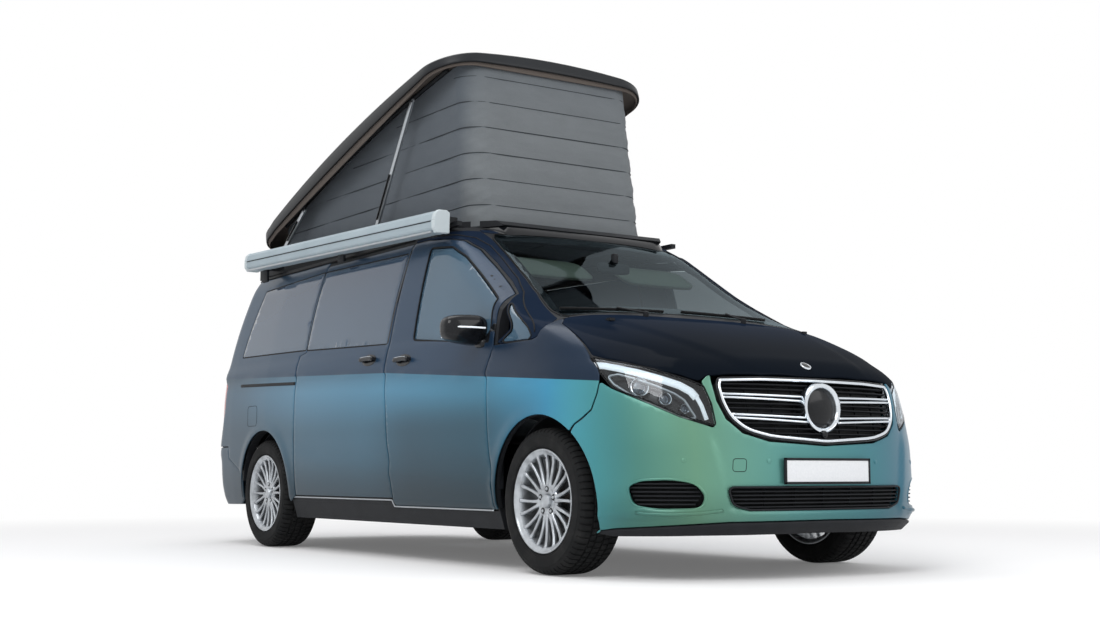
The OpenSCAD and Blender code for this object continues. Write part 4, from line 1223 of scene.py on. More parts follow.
def make_screen():
    loop = across_nose(both_ways(SCREEN))
    panel("screen_pane", nose, [shrunk(loop, 4)], "screen_glass", lift=3, radius=40, step=34, swap=["windscreen"])
    inner = shrunk(loop, 46)
    panel("screen_band", nose, [shrunk(loop, 5), inner], "gloss_black", lift=1.0, radius=30, step=30, depth=3)
    seal("screen_seal", nose, loop, "chassis", 10, 6, 2)
    # roof's front edge over the glass
    brow = across_nose(both_ways(((0, 1770), (596, 1754), (636, 1760), (636, 1776), (0, 1782))))
    panel("roof_brow", nose, [brow], "dark_paint", lift=4, step=24, radius=3)


def make_bumper():
    paint = "nose_paint"
    # from the centre line under the grille, round the lamp and the wheel arch, and back along the lower edge
    half_line = across_nose([(0, 590), (322, 606), (450, 640), (518, 700), (546, 780), (550, 862), (546, 895),
                             (562, 890), (588, 868)])
    lamp = [(2411, 845), (2443, 766), (2468, 660), (2381, 709), (2285, 767), (2128, 838), (2068, 872)]
    half_line += round_nose(lamp)
    half_line += round_nose([(2064, 820), (2040, 746), (1996, 712), (1950, 684)])
    half_line += round_nose(arc(AXLE_F, AXLE_Z + 6, ARCH, 51, -19, 24))
    half_line += round_nose([(2030, 212)]) + across_nose([(880, 222), (700, 246), (520, 258), (0, 262)])
    outline = both_ways(half_line)
    holes = [across_nose(dense(list(LOWER), 60))]
    holes += [round_nose(dense(list(INTAKE), 40), s) for s in (1, -1)]
    panel("bumper_skin", nose, [outline] + holes, paint, radius=14, relief=bumper_relief, step=22, roll=4, depth=12,
          swap=["front_bumper"])
    lip = round_nose([(2034, 204)]) + across_nose([(880, 218), (700, 242), (520, 254), (0, 258)])
    low = across_nose([(0, 206), (600, 202)]) + round_nose([(2100, 194)])
    loop = [(-a, b) for a, b in lip[:-1]] + lip[::-1] + low[::-1] + [(-a, b) for a, b in low[1:]]
    panel("bumper_lip", nose, [loop], "black_plastic", lift=9, roll=6, depth=26, radius=10, step=24)


def make_tail():
    paint = "two_tone_paint"
    gate = across_tail(both_ways(GATE))
    pane = across_tail(both_ways(GATE_PANE))
    panel("gate_skin", tail, [gate, pane], paint, "tailgate", radius=24, relief=tail_relief, step=26)
    panel("gate_pane", tail, [shrunk(pane, 2)], "privacy_glass", "tailgate", lift=3.2, radius=46, step=40,
          swap=["tailgate_glass"])
    seal("gate_seal", tail, pane, "tailgate")
    foot = [(-2156, 640), (-2146, 562), (-1928, 470), (-1922, 420), (-1924, 300), (-1990, 262)]
    half_line = across_tail([(0, 640), (790, 640)]) + round_tail(foot) + across_tail([(700, 250), (0, 250)])
    panel("rear_bumper_skin", tail, [both_ways(half_line)], paint, radius=16, step=26, roll=5, depth=10,
          swap=["rear_bumper"],
          relief=lambda p: 6 * math.exp(-(((p.z - 600) / 40) ** 2)))
    for s, name in SIDES:
        loop = across_tail([(s * 560, 330), (s * 560, 380), (s * 800, 380), (s * 800, 330)])
        panel("rear_reflector_" + name, tail, [loop], "reflector", lift=4.5, radius=14, step=20)


# ---------------------------------------------------------------- lamps, grille, badges and plates
def spot(chart, a, b, lift=0.0, relief=None):
    """A point of the surface and the way out of it there."""
    p = chart(a, b)
    lift += relief(p) if relief else 0
    out = outward(chart, a, b, p, 3)
    return p + out * lift, out


def disc(name, chart, a, b, profile, look, body="chassis", lean=None, lift=0.0, steps=48, relief=None):
    """A turned piece that sits on the surface; its profile is (radius, height) in millimetres."""
    at, out = spot(chart, a, b, lift, relief)
    if lean:
        out = (out + Vector(lean)).normalized()
    return turned(name, [(r * MM, h * MM) for r, h in profile], at * MM, out, look, body, steps)


def projector(name, chart, a, b, r):
    ring = [(0.4, -30), (r * 1.1, -30), (r * 1.16, -6), (r * 1.08, 2), (r * 0.98, 1), (r * 0.9, -8), (r * 0.86, -22),
            (0.4, -22)]
    dome = [(r * 0.84 * math.sin(k * math.pi / 16), -20 + r * 0.5 * math.cos(k * math.pi / 16)) for k in range(9)]
    dome = [(max(q, 0.3), h) for q, h in dome] + [(0.3, -20)]
    disc("lamp_ring_" + name, chart, a, b, ring, "chrome", lean=(1.2, 0, 0), lift=-12)
    disc("lamp_lens_" + name, chart, a, b, dome, "lens", lean=(1.2, 0, 0), lift=-12)


def make_lamps():
    strip = [(2006, 955), (2060, 950), (2120, 938), (2207, 914), (2290, 884), (2356, 852), (2390, 824), (2408, 796)]
    brow = [(2408, 800), (2426, 760), (2446, 700)]
    bowl = [(2092, 898), (2140, 906), (2210, 884), (2290, 850), (2350, 816), (2382, 786), (2404, 744), (2424, 704),
            (2400, 706),
            (2300, 764), (2200, 816), (2130, 860)]
    for s, name in SIDES:
        loop = round_nose(LAMP, s)
        panel("lamp_bowl_" + name, nose, [shrunk(loop, 1)], "gloss_black", lift=-56, roll=3, depth=4, step=24,
              radius=10,
              swap=["headlights"] if s > 0 else [])
        ribbon("lamp_guide_" + name, nose, steps(round_nose(strip, s), 24), 36, 14, "lamp_white", "chassis", -12,
               closed=False)
        ribbon("lamp_guide_tip_" + name, nose, round_nose(brow, s), 20, 12, "lamp_white", "chassis", -12, closed=False)
        ribbon("lamp_frame_" + name, nose, dense(softened(round_nose(bowl, s), 14), 14), 13, 20, "satin_metal",
               "chassis", -16)
        for k, (x, z, r) in enumerate(((2236, 846, 38), (2330, 792, 26), (2390, 748, 19))):
            projector(name + "_" + str(k + 1), nose, nose_x(x, z, s), z, r)
        panel("lamp_cover_" + name, nose, [shrunk(loop, 3.5)], "lamp_cover", lift=3, roll=4, radius=12, step=26)
        seal("lamp_seal_" + name, nose, shrunk(loop, 0), "chassis", 6, 5, 1.5, 12)
    # both tail lamps of the frame are one node, so one of the two red skins stands for it
    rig.replaces(bpy.data.objects["tail_lamp_left"], "tail_lamps")


def make_grille():
    loop = softened(both_ways(GRILLE), 500)
    panel("grille_back", nose, [across_nose(dense(loop, 60))], "under", lift=-54, roll=3, step=34, radius=20,
          swap=["grilles"])
    frame_line = across_nose(dense(shrunk(loop, 14), 22))
    ribbon("grille_frame", nose, frame_line, 15, 16, "chrome", "chassis", 2)
    ribbon("grille_rim", nose, across_nose(dense(shrunk(loop, 3), 26)), 9, 12, "gloss_black", "chassis", -1)
    span = lambda z, edge: edge + (534 - edge) * min(1, max(0, (z - 600) / 180)) ** 0.5
    bars = []
    for z in range(622, 890, 22):
        wide = span(z, 322) - (16 if z < 860 else 26)
        line = [(nose_y(y, z), z) for y in np.linspace(-wide, wide, 40)]
        bars.append(ribbon("grille_fin", nose, line, 7, 26, "black_plastic", "chassis", -20, closed=False, sides=6))
    joined(bars, "grille_fins")
    posts = []
    for y in (-390, -260, -130, 130, 260, 390):
        line = [(nose_y(y, z), z) for z in np.linspace(630, 880, 14)]
        posts.append(ribbon("grille_post", nose, line, 6, 10, "black_plastic", "chassis", -36, closed=False, sides=6))
    joined(posts, "grille_posts")
    chrome = []
    for s in (1, -1):
        for z_out, z_in, y_out in ((806, 797, 520), (716, 703, 484)):
            for d in (10, -10):
                line = []
                for k in range(22):
                    t = k / 21
                    z = z_out + (z_in - z_out) * t + d * (1.0 - 0.25 * (1 - t))
                    y = (y_out - (y_out - 92) * t) * s
                    line.append((nose_y(y, z), z))
                chrome.append(ribbon("grille_bar", nose, line, 12, 18, "chrome", "chassis", -3, closed=False))
            line = [(nose_y(s * y_out, z_out + d), z_out + d) for d in (-12, -6, 0, 6, 12)]
            chrome.append(ribbon("grille_bar", nose, line, 12, 18, "chrome", "chassis", -3, closed=False))
    joined(chrome, "grille_bars")
    ring = [(84, -46), (106, -46), (114, -30), (114, 4), (110, 16), (102, 21), (94, 17), (89, 8), (87, -2), (84, -8)]
    disc("grille_badge_ring", nose, 0, 758, ring + ring[:1], "chrome", lean=(8, 0, 0), steps=72)
    face = [(0.3, 10), (34, 9), (64, 5), (83, -1), (87, -3), (87, -12), (0.3, -12)]
    disc("grille_badge_face", nose, 0, 758, face, "gloss_black", lean=(8, 0, 0), steps=72)
    eye = [(0.3, 9), (9, 9), (11, 5), (16, 4), (17, -12), (0.3, -12)]
    disc("nose_eye", nose, 0, 640, eye, "gloss_black", lean=(3, 0, 0), lift=-4, steps=32)
    small = [(0.3, 5.2), (12, 4.6), (21, 3.2), (22, 4.6), (26, 4.2), (28, 1), (28, -2), (0.3, -2)]
    disc("bonnet_badge_ring", deck, 2433, 0, small, "chrome", "bonnet", lift=7, steps=48)
    face = [(0.3, 6.4), (12, 5.9), (20.6, 4.7), (21, 3.4), (0.3, 3.0)]
    disc("bonnet_badge_face", deck, 2433, 0, face, "gloss_black", "bonnet", lift=7, steps=48)


def make_intakes():
    bars = []
    low = LOWER
    panel("lower_grille_back", nose, [across_nose(dense(shrunk(low, -24), 60))], "under", lift=-50, roll=3, step=34,
          radius=12)
    for z in range(319, 404, 17):
        wide = 508 + (z - 328) * 0.32 - 6 - (40 if z < 325 else 0)
        line = [(nose_y(y, z), z) for y in np.linspace(-wide, wide, 36)]
        bars.append(ribbon("lower_bar", nose, line, 9, 30, "black_plastic", "chassis", -22, closed=False, sides=6))
    for y in (-340, -170, 0, 170, 340):
        line = [(nose_y(y, z), z) for z in (312, 330, 350, 370, 402)]
        bars.append(ribbon("lower_post", nose, line, 7, 12, "black_plastic", "chassis", -36, closed=False, sides=6))
    joined(bars, "lower_grille_bars")
    loop = across_nose(dense(shrunk(low, 2), 26))
    ribbon("lower_grille_rim", nose, loop, 9, 10, "black_plastic", "chassis", -3)
    for s, name in SIDES:
        panel("intake_back_" + name, nose, [round_nose(dense(shrunk(INTAKE, -24), 40), s)], "under", lift=-44, roll=3,
              step=30, radius=10)
        bars = []
        for z, x0, x1 in ((332, 2250, 2438), (350, 2244, 2446), (368, 2238, 2452), (386, 2232, 2450), (404, 2228, 2444),
                          (421, 2244, 2434)):
            line = [(nose_x(x, z, s), z) for x in np.linspace(x0, x1, 14)]
            bars.append(ribbon("intake_bar", nose, line, 9, 28, "black_plastic", "chassis", -16, closed=False, sides=6))
        joined(bars, "intake_louvres_" + name)
        edge = round_nose(dense(shrunk(INTAKE, -4), 26), s)
        ribbon("intake_rim_" + name, nose, edge, 12, 8, "nose_paint", "chassis", 1, sides=10)
        sill = round_nose([(2250, 300), (2280, 296), (2370, 292), (2450, 298), (2490, 306)], s)
        ribbon("intake_lip_" + name, nose, steps(sill, 24), 16, 14, "nose_paint", "chassis", 1, closed=False, sides=12,
               relief=bumper_relief)


def make_plates():
    for name, node, out in (("front", "front_plate", 1), ("rear", "rear_plate", -1)):
        low, high = [Vector(v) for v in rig.box(node)]
        ride = frame["nodes"][node].get("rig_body") or ("chassis" if out > 0 else "tailgate")
        x = high.x if out > 0 else low.x
        plate = block(name + "_number_plate", (x - 0.003, -0.252, low.z + 0.008), (x + 0.003, 0.252, high.z - 0.008),
                      "plate_white", ride, 0.0022, 3)
        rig.replaces(plate, node)
        bars = []
        for a, b in (((-0.262, low.z - 0.002), (0.262, low.z + 0.009)),
                     ((-0.262, high.z - 0.009), (0.262, high.z + 0.002)),
                     ((-0.262, low.z - 0.002), (-0.251, high.z + 0.002)),
                     ((0.251, low.z - 0.002), (0.262, high.z + 0.002))):
            bars.append(block("plate_edge", (x - 0.006, *a), (x + 0.005, *b), "black_plastic", ride, 0.0015))
        a, b = sorted((x - 0.012 * out, x - 0.003 * out))
        bars.append(block("plate_edge", (a, -0.255, low.z + 0.002), (b, 0.255, high.z - 0.002), "black_plastic", ride,
                          0.0015))
        joined(bars, name + "_plate_holder")


# ---------------------------------------------------------------- wheels
WHEEL_R, WHEEL_W, RIM_R = 339, 122.5, 237
SPOKES, BOLTS, BOLT_CIRCLE = 20, 5, 0.056
FIRST_WHEEL = "wheel_front_left"


def shell_mesh(name, rings, look, body, closed=True, smooth=35, open_end=False):
    """A mesh through rings of points; each ring closes on itself, and the last ring joins the first if closed."""
    verts = [p for ring in rings for p in ring]
    n, m = len(rings[0]), len(rings)
    faces = []
    for k in range(m if closed else m - 1):
        for j in range(n):
            a, b = k * n + j, k * n + (j + 1) % n
            c, d = ((k + 1) % m) * n + (j + 1) % n, ((k + 1) % m) * n + j
            faces.append([a, b, c, d])
    if not closed:
        faces.append(list(range(n))[::-1])
        if not open_end:
            faces.append(list(range((m - 1) * n, m * n)))
    piece = made(name, verts, faces, look, body)
    facing_out(piece)
    picked(piece)
    bpy.ops.object.shade_smooth_by_angle(angle=math.radians(smooth))
    piece.select_set(False)
    return piece


def tyre_section():
    """Half of the tyre's section from the bead to the middle of the tread: (radius, across, part)."""
    r, w, b = WHEEL_R, WHEEL_W, RIM_R
    side = [(b - 13, w - 26, 0), (b + 2, w - 17, 0), (b + 7, w - 12, 0), (b + 12, w - 9, 0), (b + 15, w - 3, 0),
            (b + 19, w - 3.5, 0),
            (b + 22, w - 1.5, 0), (b + 44, w, 0), (b + 62, w + 0.4, 0), (b + 64, w - 1.2, 0), (r - 30, w - 4, 0),
            (r - 24, w - 6.5, 0),
            (r - 20, w - 8.5, 1), (r - 12, w - 14, 1), (r - 7, w - 22, 1), (r - 3, w - 34, 1), (r - 1, w - 48, 1)]
    tread = [(r - 1, 62, 1), (r - 8, 60, 0), (r - 8, 53, 0), (r, 51, 2), (r, 38, 2), (r, 27, 2), (r - 8, 25, 0),
             (r - 8, 18, 0), (r, 16, 3), (r, 0, 3)]
    return side + tread


def wheel_part(name, profile, look, steps, smooth=35, at=(0, 0, 0)):
    """A turned piece of the first wheel; its profile is (radius, across) in millimetres."""
    return turned(name, scaled(profile), at, (0, 1, 0), look, FIRST_WHEEL, steps, smooth)


def first_tyre():
    """Tyre rings round the wheel: each tread block has cuts that its rings step down into."""
    half = tyre_section()
    section = half + [(r, -w, part) for r, w, part in reversed(half[:-1])]
    blocks, cut = user("wheels").blocks, user("wheels").cut / MM
    marks = (0.0, 0.06, 0.22, 0.28, 0.52, 0.76)
    rings = []
    for k in range(blocks):
        for j, m in enumerate(marks):
            ring = []
            for i, (r, w, part) in enumerate(section):
                shift = {1: 0.0, 2: 0.35, 3: 0.7}.get(part, 0.0)
                slant = 0.25 * (w / 60.0) if part in (2, 3) else 0.0
                angle = 2 * math.pi * (k + m + shift + slant) / blocks
                depth = {1: 1.0, 2: 0.85, 3: 0.7}.get(part, 0.0) * cut if j in (1, 2) else 0.0
                ring.append(Vector(((r - depth) * math.cos(angle), w, (r - depth) * math.sin(angle))) * MM)
            rings.append(ring)
    return shell_mesh("tyre_skin_front_left", rings, "tyre", FIRST_WHEEL, smooth=28)


def first_rim():
    """Barrel, spokes and hub."""
    w, b = WHEEL_W, RIM_R
    barrel = [(b - 16, -w + 26), (b - 8, -w + 20), (b + 2, -w + 14), (b + 3, -w + 8), (b - 3, -w + 7),
              (b - 24, -w + 22), (b - 30, -w + 60), (b - 33, 20),
              (b - 28, w - 34), (b - 22, w - 21), (b - 14, w - 15), (b - 8, w - 11), (b - 5, w - 7.5), (b, w - 6),
              (b + 3, w - 8), (b + 3, w - 13),
              (b - 8, w - 20), (b - 16, w - 26), (b - 20, 0)]
    rim = wheel_part("rim_skin_front_left", barrel + barrel[:1], "alloy", 96, 28)
    verts, faces = [], []
    stations = [(56, 15, w - 36, 22), (74, 11.5, w - 32, 24), (92, 8.6, w - 33, 24), (130, 7.4, w - 34, 22),
                (175, 7.2, w - 31, 22), (205, 8.4, w - 25, 22),
                (222, 12, w - 18, 22)]
    for k in range(SPOKES):
        swing = 0.055 if k % 2 else -0.055
        base = len(verts)
        for r, wide, top, deep in stations:
            lean = swing * (1 - (r - 56) / 166)
            angle = 2 * math.pi * k / SPOKES + lean
            c, s_ = math.cos(angle), math.sin(angle)
            for side, h in ((-wide, top - deep), (-wide, top - 4), (-wide + 3.4, top), (wide - 3.4, top),
                            (wide, top - 4), (wide, top - deep)):
                verts.append(Vector((r * c - side * s_, h, r * s_ + side * c)) * MM)
        for i in range(len(stations) - 1):
            for j in range(6):
                a, bb = base + i * 6 + j, base + i * 6 + (j + 1) % 6
                faces.append([a, bb, bb + 6, a + 6])
        last = base + (len(stations) - 1) * 6
        faces += [[base + j for j in range(6)][::-1], [last + j for j in range(6)]]
    spokes = made("spokes", verts, faces, "alloy", FIRST_WHEEL)
    facing_out(spokes)
    hub = wheel_part("hub", [(18, w - 62), (80, w - 62), (80, w - 42), (76, w - 37), (60, w - 35), (44, w - 36),
                             (34, w - 38),
                             (33, w - 60), (18, w - 62)], "alloy", 64)
    return joined([rim, spokes, hub], "rim_skin_front_left")


def make_wheels():
    """One wheel, made at the origin and copied to the other corners before it goes to its own."""
    w = WHEEL_W
    tyre, rim = first_tyre(), first_rim()
    turns = [2 * math.pi * (k + 0.25) / BOLTS for k in range(BOLTS)]
    places = [(BOLT_CIRCLE * math.cos(a), 0, BOLT_CIRCLE * math.sin(a)) for a in turns]
    bolt = [(0.3, w - 30), (6, w - 30), (8, w - 33), (8.5, w - 44), (0.3, w - 44)]
    well = [(8.6, w - 40), (8.6, w - 33.4), (13.5, w - 33.2), (15, w - 35), (15, w - 40), (8.6, w - 40)]
    bolts = [wheel_part("bolt", bolt, "satin_metal", 12, at=at) for at in places]
    wells = [wheel_part("well", well, "gloss_black", 20, at=at) for at in places]
    bolts = joined(bolts + wells, "wheel_bolts_front_left")
    cap = wheel_part("wheel_cap_front_left", [(0.3, w - 21), (14, w - 21.6), (24, w - 24), (25, w - 22.6),
                                              (29, w - 23.6),
                                              (32, w - 28), (32.5, w - 44), (0.3, w - 44)], "alloy", 48)
    valve = tube("valve", [(0.0, (w - 40) * MM, 0.205), (0.0, (w - 22) * MM, 0.196)], 0.004, "rubber", FIRST_WHEEL)
    bolts = joined([bolts, valve], "wheel_bolts_front_left")
    masters = {"tyre_skin": tyre, "rim_skin": rim, "wheel_bolts": bolts, "wheel_cap": cap}
    for fore, x in (("front", AXLE_F), ("rear", AXLE_R)):
        for s, side in SIDES:
            if (fore, side) == ("front", "left"):
                continue
            body = "wheel_" + fore + "_" + side
            for name, piece in masters.items():
                copy = bpy.data.objects.new(name + "_" + fore + "_" + side, piece.data.copy())
                copy.data.name = copy.name
                bpy.context.collection.objects.link(copy)
                if s < 0:
                    copy.data.transform(Matrix.Rotation(math.pi, 4, "Z"))
                copy.data.transform(Matrix.Translation(Vector((x, s * WHEEL_Y, AXLE_Z)) * MM))
                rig.ride(copy, body)
                if name in ("tyre_skin", "rim_skin"):
                    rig.replaces(copy, name.split("_")[0] + "_" + fore + "_" + side)
    for piece in masters.values():
        piece.data.transform(Matrix.Translation(Vector((AXLE_F, WHEEL_Y, AXLE_Z)) * MM))
    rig.replaces(tyre, "tyre_front_left")
    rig.replaces(rim, "rim_front_left")


# ---------------------------------------------------------------- mirrors, handles, wipers and small trims
def make_mirrors():
    for s, name in SIDES:
        door = "door_" + name
        y0, y1 = sorted((s * 0.915, s * 1.158))
        shape = lambda p: (p.x * (1 - 0.10 * s * p.y) + (0.25 if p.x > 0 else 0) * (0.3 - 0.3 * p.z * p.z), p.y,
                           p.z * (1 - 0.16 * (s * p.y + 0.2) * (1 if p.z < 0 else 0.5)))
        housing = pillow("mirror_housing_" + name, (1.048, y0, 1.098), (1.172, y1, 1.248), "gloss_black", door, 3.4, 12,
                         shape=shape)
        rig.replaces(housing, "mirror_" + name)
        a, b = sorted((s * 0.938, s * 1.136))
        block("mirror_glass_" + name, (1.045, a + 0.008, 1.130), (1.0545, b - 0.008, 1.222), "chrome", door, 0.004, 3)
        band = [(1.177, s * 0.95, 1.181), (1.180, s * 1.02, 1.181), (1.172, s * 1.09, 1.180), (1.148, s * 1.146, 1.178)]
        tube("mirror_signal_" + name, band, 0.0045, "lamp_white", door)
        # foot and sail on the door's corner
        y0, y1 = sorted((s * 0.86, s * 0.975))
        pillow("mirror_foot_" + name, (1.095, y0, 1.082), (1.185, y1, 1.128), "gloss_black", door, 4, 8)
        panel("mirror_sail_" + name, flank(s), [[(1256, 1098), (1100, 1110), (1122, 1132), (1190, 1154), (1232, 1200),
                                                 (1256, 1196)]],
              "gloss_black", door, lift=5, radius=8, step=24)


def make_handles():
    for s, x, z, body, name in ((-1, -59, 1098, "chassis", "sliding"), (-1, 354, 1072, "door_right", "right"),
                                (1, 354, 1072, "door_left", "left")):
        chart = flank(s)
        cup = [(x + 82 * math.cos(t), z - 2 + 33 * math.sin(t)) for t in np.linspace(0, 2 * math.pi, 41)[:-1]]
        panel("handle_cup_" + name, chart, [cup], "gloss_black", body, lift=4.2, radius=2, step=12, roll=2,
              relief=side_relief)
        bar = [(x + d, z + 3 - 0.0006 * d * d) for d in range(-76, 77, 8)]
        ribbon("handle_bar_" + name, chart, bar, 25, 20, "gloss_black", body, 22, closed=False, sides=14,
               relief=side_relief)
        for d in (-70, 70):
            disc("handle_foot_" + name + ("_a" if d < 0 else "_b"), chart, x + d, z,
                 [(0.3, 22), (9, 20), (11, 10), (12, 0), (0.3, 0)], "gloss_black", body, lift=2, steps=24,
                 relief=side_relief)
        strip = [(x + d, z + 13 - 0.0006 * d * d) for d in range(-62, 63, 8)]
        ribbon("handle_strip_" + name, chart, strip, 3, 4, "chrome", body, 31, closed=False, relief=side_relief)


def make_trims():
    slot = [(tail_x(x, 1043 - (x + 1956) * 0.0311, -1), 1043 - (x + 1956) * 0.0311)
            for x in np.linspace(-1962, -1050, 30)]
    ribbon("slider_rail", tail, slot, 20, 6, "black_plastic", "chassis", 3, closed=False, relief=side_relief)
    flap = round_tail([(-1800, 770), (-1800, 900), (-1640, 900), (-1640, 770)], -1)
    ribbon("fuel_flap_gap", tail, dense(softened(flap, 26), 12), 3, 2, "rubber", "chassis", 2.6, relief=side_relief)
    cover = across_nose(((-508, 474), (-502, 530), (-440, 530), (-446, 474)))
    ribbon("tow_cover_gap", nose, dense(softened(cover, 14), 8), 3, 2, "rubber", "chassis", 2.6, relief=bumper_relief)
    for s, name in SIDES:
        line = [(x, 322 if s < 0 and x < 220 else 288) for x in range(-1080, 1250, 20)]
        ribbon("sill_bead_" + name, flank(s), line, 9, 8, "satin_metal", "chassis", 4, closed=False)
        strip = [(120, 1180), (140, 1400), (160, 1600), (166, 1730)]
        ribbon("post_strip_" + name, flank(s), steps(strip, 40), 20, 5, "gloss_black", "chassis", 1, closed=False)
        gutter = round_tail([(x, 1770) for x in range(-2100, 170, 70)], s)
        ribbon("gutter_" + name, tail, gutter, 10, 10, "rubber", "chassis", 4, closed=False)
        post = round_nose([(180, 1764), (330, 1762), (560, 1744), (680, 1716), (800, 1658), (940, 1568), (1124, 1446),
                           (1250, 1362), (1440, 1240), (1600, 1128)], s)
        ribbon("pillar_line_" + name, nose, steps(post, 30), 8, 8, "rubber", "chassis", 3, closed=False)
    make_wipers()
    make_roof_cap()
    make_screen_fittings()


def make_wipers():
    for name, a, b, pivot in (("right", (-742, 1247), (-150, 1262), (-330, 1226)),
                              ("left", (-20, 1270), (560, 1262), (300, 1226))):
        blade = across_nose([between(a, b, t) for t in np.linspace(0, 1, 16)])
        ribbon("wiper_blade_" + name, nose, blade, 9, 16, "rubber", "chassis", 13, closed=False)
        mid = ((a[0] + b[0]) / 2, (a[1] + b[1]) / 2)
        arm = across_nose([between(pivot, mid, t) for t in np.linspace(0, 1, 8)])
        ribbon("wiper_arm_" + name, nose, arm, 16, 10, "black_plastic", "chassis", 24, closed=False)
        disc("wiper_pivot_" + name, nose, nose_y(*pivot), pivot[1], [(0.3, 32), (11, 31), (14, 24), (14, 0), (0.3, 0)],
             "black_plastic", steps=28)


def make_roof_cap():
    """Cap that leads from the roof's front edge up to the tent."""
    rings = []
    for y in np.linspace(-712, 712, 37):
        t = abs(y) / 712
        back = -20 * t * t - 1.75 * max(abs(y) - 540, 0)
        front = 727 + back
        z_low, z_high = 1690.0, 1800.0
        for _ in range(18):
            mid = (z_low + z_high) / 2
            z_low, z_high = (mid, z_high) if nose(nose_y(y, mid), mid).x > front else (z_low, mid)
        foot = min(z_low, 1786)
        top = 1829 - 16 * t ** 6
        rings.append([Vector((x, y, z)) * MM for x,
                      z in ((506 + back, 1780), (506 + back, top), (560 + back, top - 1), (620 + back, top - 6),
                            (668 + back, top - 17),
                                                          (702 + back, top - 34), (front - 6, foot + 14),
                            (front, foot + 4), (front - 6, foot - 2), (640 + back, 1772))])
    shell_mesh("roof_cap", rings, "gloss_black", "chassis", closed=False, smooth=50)


def make_screen_fittings():
    """Plinth over the wipers' feet, sun visors, mirror and the bumper's sensors."""
    high = [(0, 1260), (200, 1257), (400, 1249), (560, 1238), (680, 1222), (770, 1206)]
    low = [(y, deck(1646, y).z) for y in (770, 680, 560, 400, 200, 0)]
    cowl = across_nose(both_ways(high + low))
    panel("cowl_cover", nose, [cowl], "black_plastic", lift=3, radius=2, step=28, roll=2)
    for s, name in SIDES:
        y0, y1 = sorted((s * 0.10, s * 0.60))
        pillow("sun_visor_" + name, (0.78, y0, 1.585), (1.0, y1, 1.612), "visor", "chassis", 5, 8,
               turn=(32, (0.80, 0, 1.65)))
    pillow("cabin_mirror", (0.94, -0.11, 1.545), (0.965, 0.11, 1.605), "gloss_black", "chassis", 5, 8)
    block("cabin_mirror_stem", (0.955, -0.015, 1.60), (0.985, 0.015, 1.655), "trim", "chassis", 0.006)
    for y in (-700, -330, 330, 700):
        disc("park_sensor_" + str(int(y + 1000)), nose, nose_y(y, 520), 520,
             [(0.3, 2.4), (9, 2.4), (11, 1.2), (11, -2), (0.3, -2)], "nose_paint", lift=2.6, steps=24,
             relief=bumper_relief)


# ---------------------------------------------------------------- raising roof, tent, struts and awning
HINGE_X, HINGE_Z, LID_DEGREES = -2390, 1978, 15.8
LID_A = math.radians(LID_DEGREES)
TENT_FOOT = 1800
LID_U0, LID_L, LID_HALF = 60, 2890, 745


def at_hinge(u, v, w):
    return Vector((HINGE_X + u * math.cos(LID_A) - w * math.sin(LID_A), v,
                   HINGE_Z + u * math.sin(LID_A) + w * math.cos(LID_A))) * MM


def lid_plan(inset=0.0, count=14):
    """Half of the panel's outline, rear to front, then back along the other side."""
    half_at = lambda u: LID_HALF * (1 - 0.05 * (1 - u / LID_L) ** 2)
    side = []
    for k in range(count + 1):
        q = math.pi / 2 * k / count
        side.append((LID_U0 + inset + (260 - inset) * (1 - math.cos(q)),
                     half_at(0) - 260 + (260 - inset) * math.sin(q)))
    for k in range(1, 24):
        u = 260 + (LID_L - 520) * k / 24 + LID_U0
        side.append((u, half_at(u) - inset))
    for k in range(count + 1):
        q = math.pi / 2 * (1 - k / count)
        side.append((LID_L - 250 + (250 - inset) * math.cos(q), LID_HALF - 250 + (250 - inset) * math.sin(q)))
    nose_end = side[-1]
    line = [(nose_end[0], nose_end[1] * t) for t in (0.75, 0.5, 0.25)]
    tail_end = side[0]
    back = [(tail_end[0], tail_end[1] * t) for t in (0.25, 0.5, 0.75)]
    whole = side + line + [(nose_end[0], 0)] + [(u, -v) for u, v in reversed(line)] + [(u, -v) for u,
                                                                                       v in reversed(side)]
    return whole + [(u, -v) for u, v in reversed(back)] + [(tail_end[0], 0)] + back


def lid_top(u, v):
    return 58 + 84 * (1 - ((u - 1400) / 1500) ** 2) + 60 * (1 - (v / LID_HALF) ** 2)


def lid_surface(scale, drop=0.0, inset=0.0):
    mid = LID_U0 + LID_L / 2 - 40
    ring = []
    for u, v in lid_plan(inset):
        a, b = mid + (u - mid) * scale, v * scale
        ring.append((a, b, lid_top(a, b) - drop))
    return ring


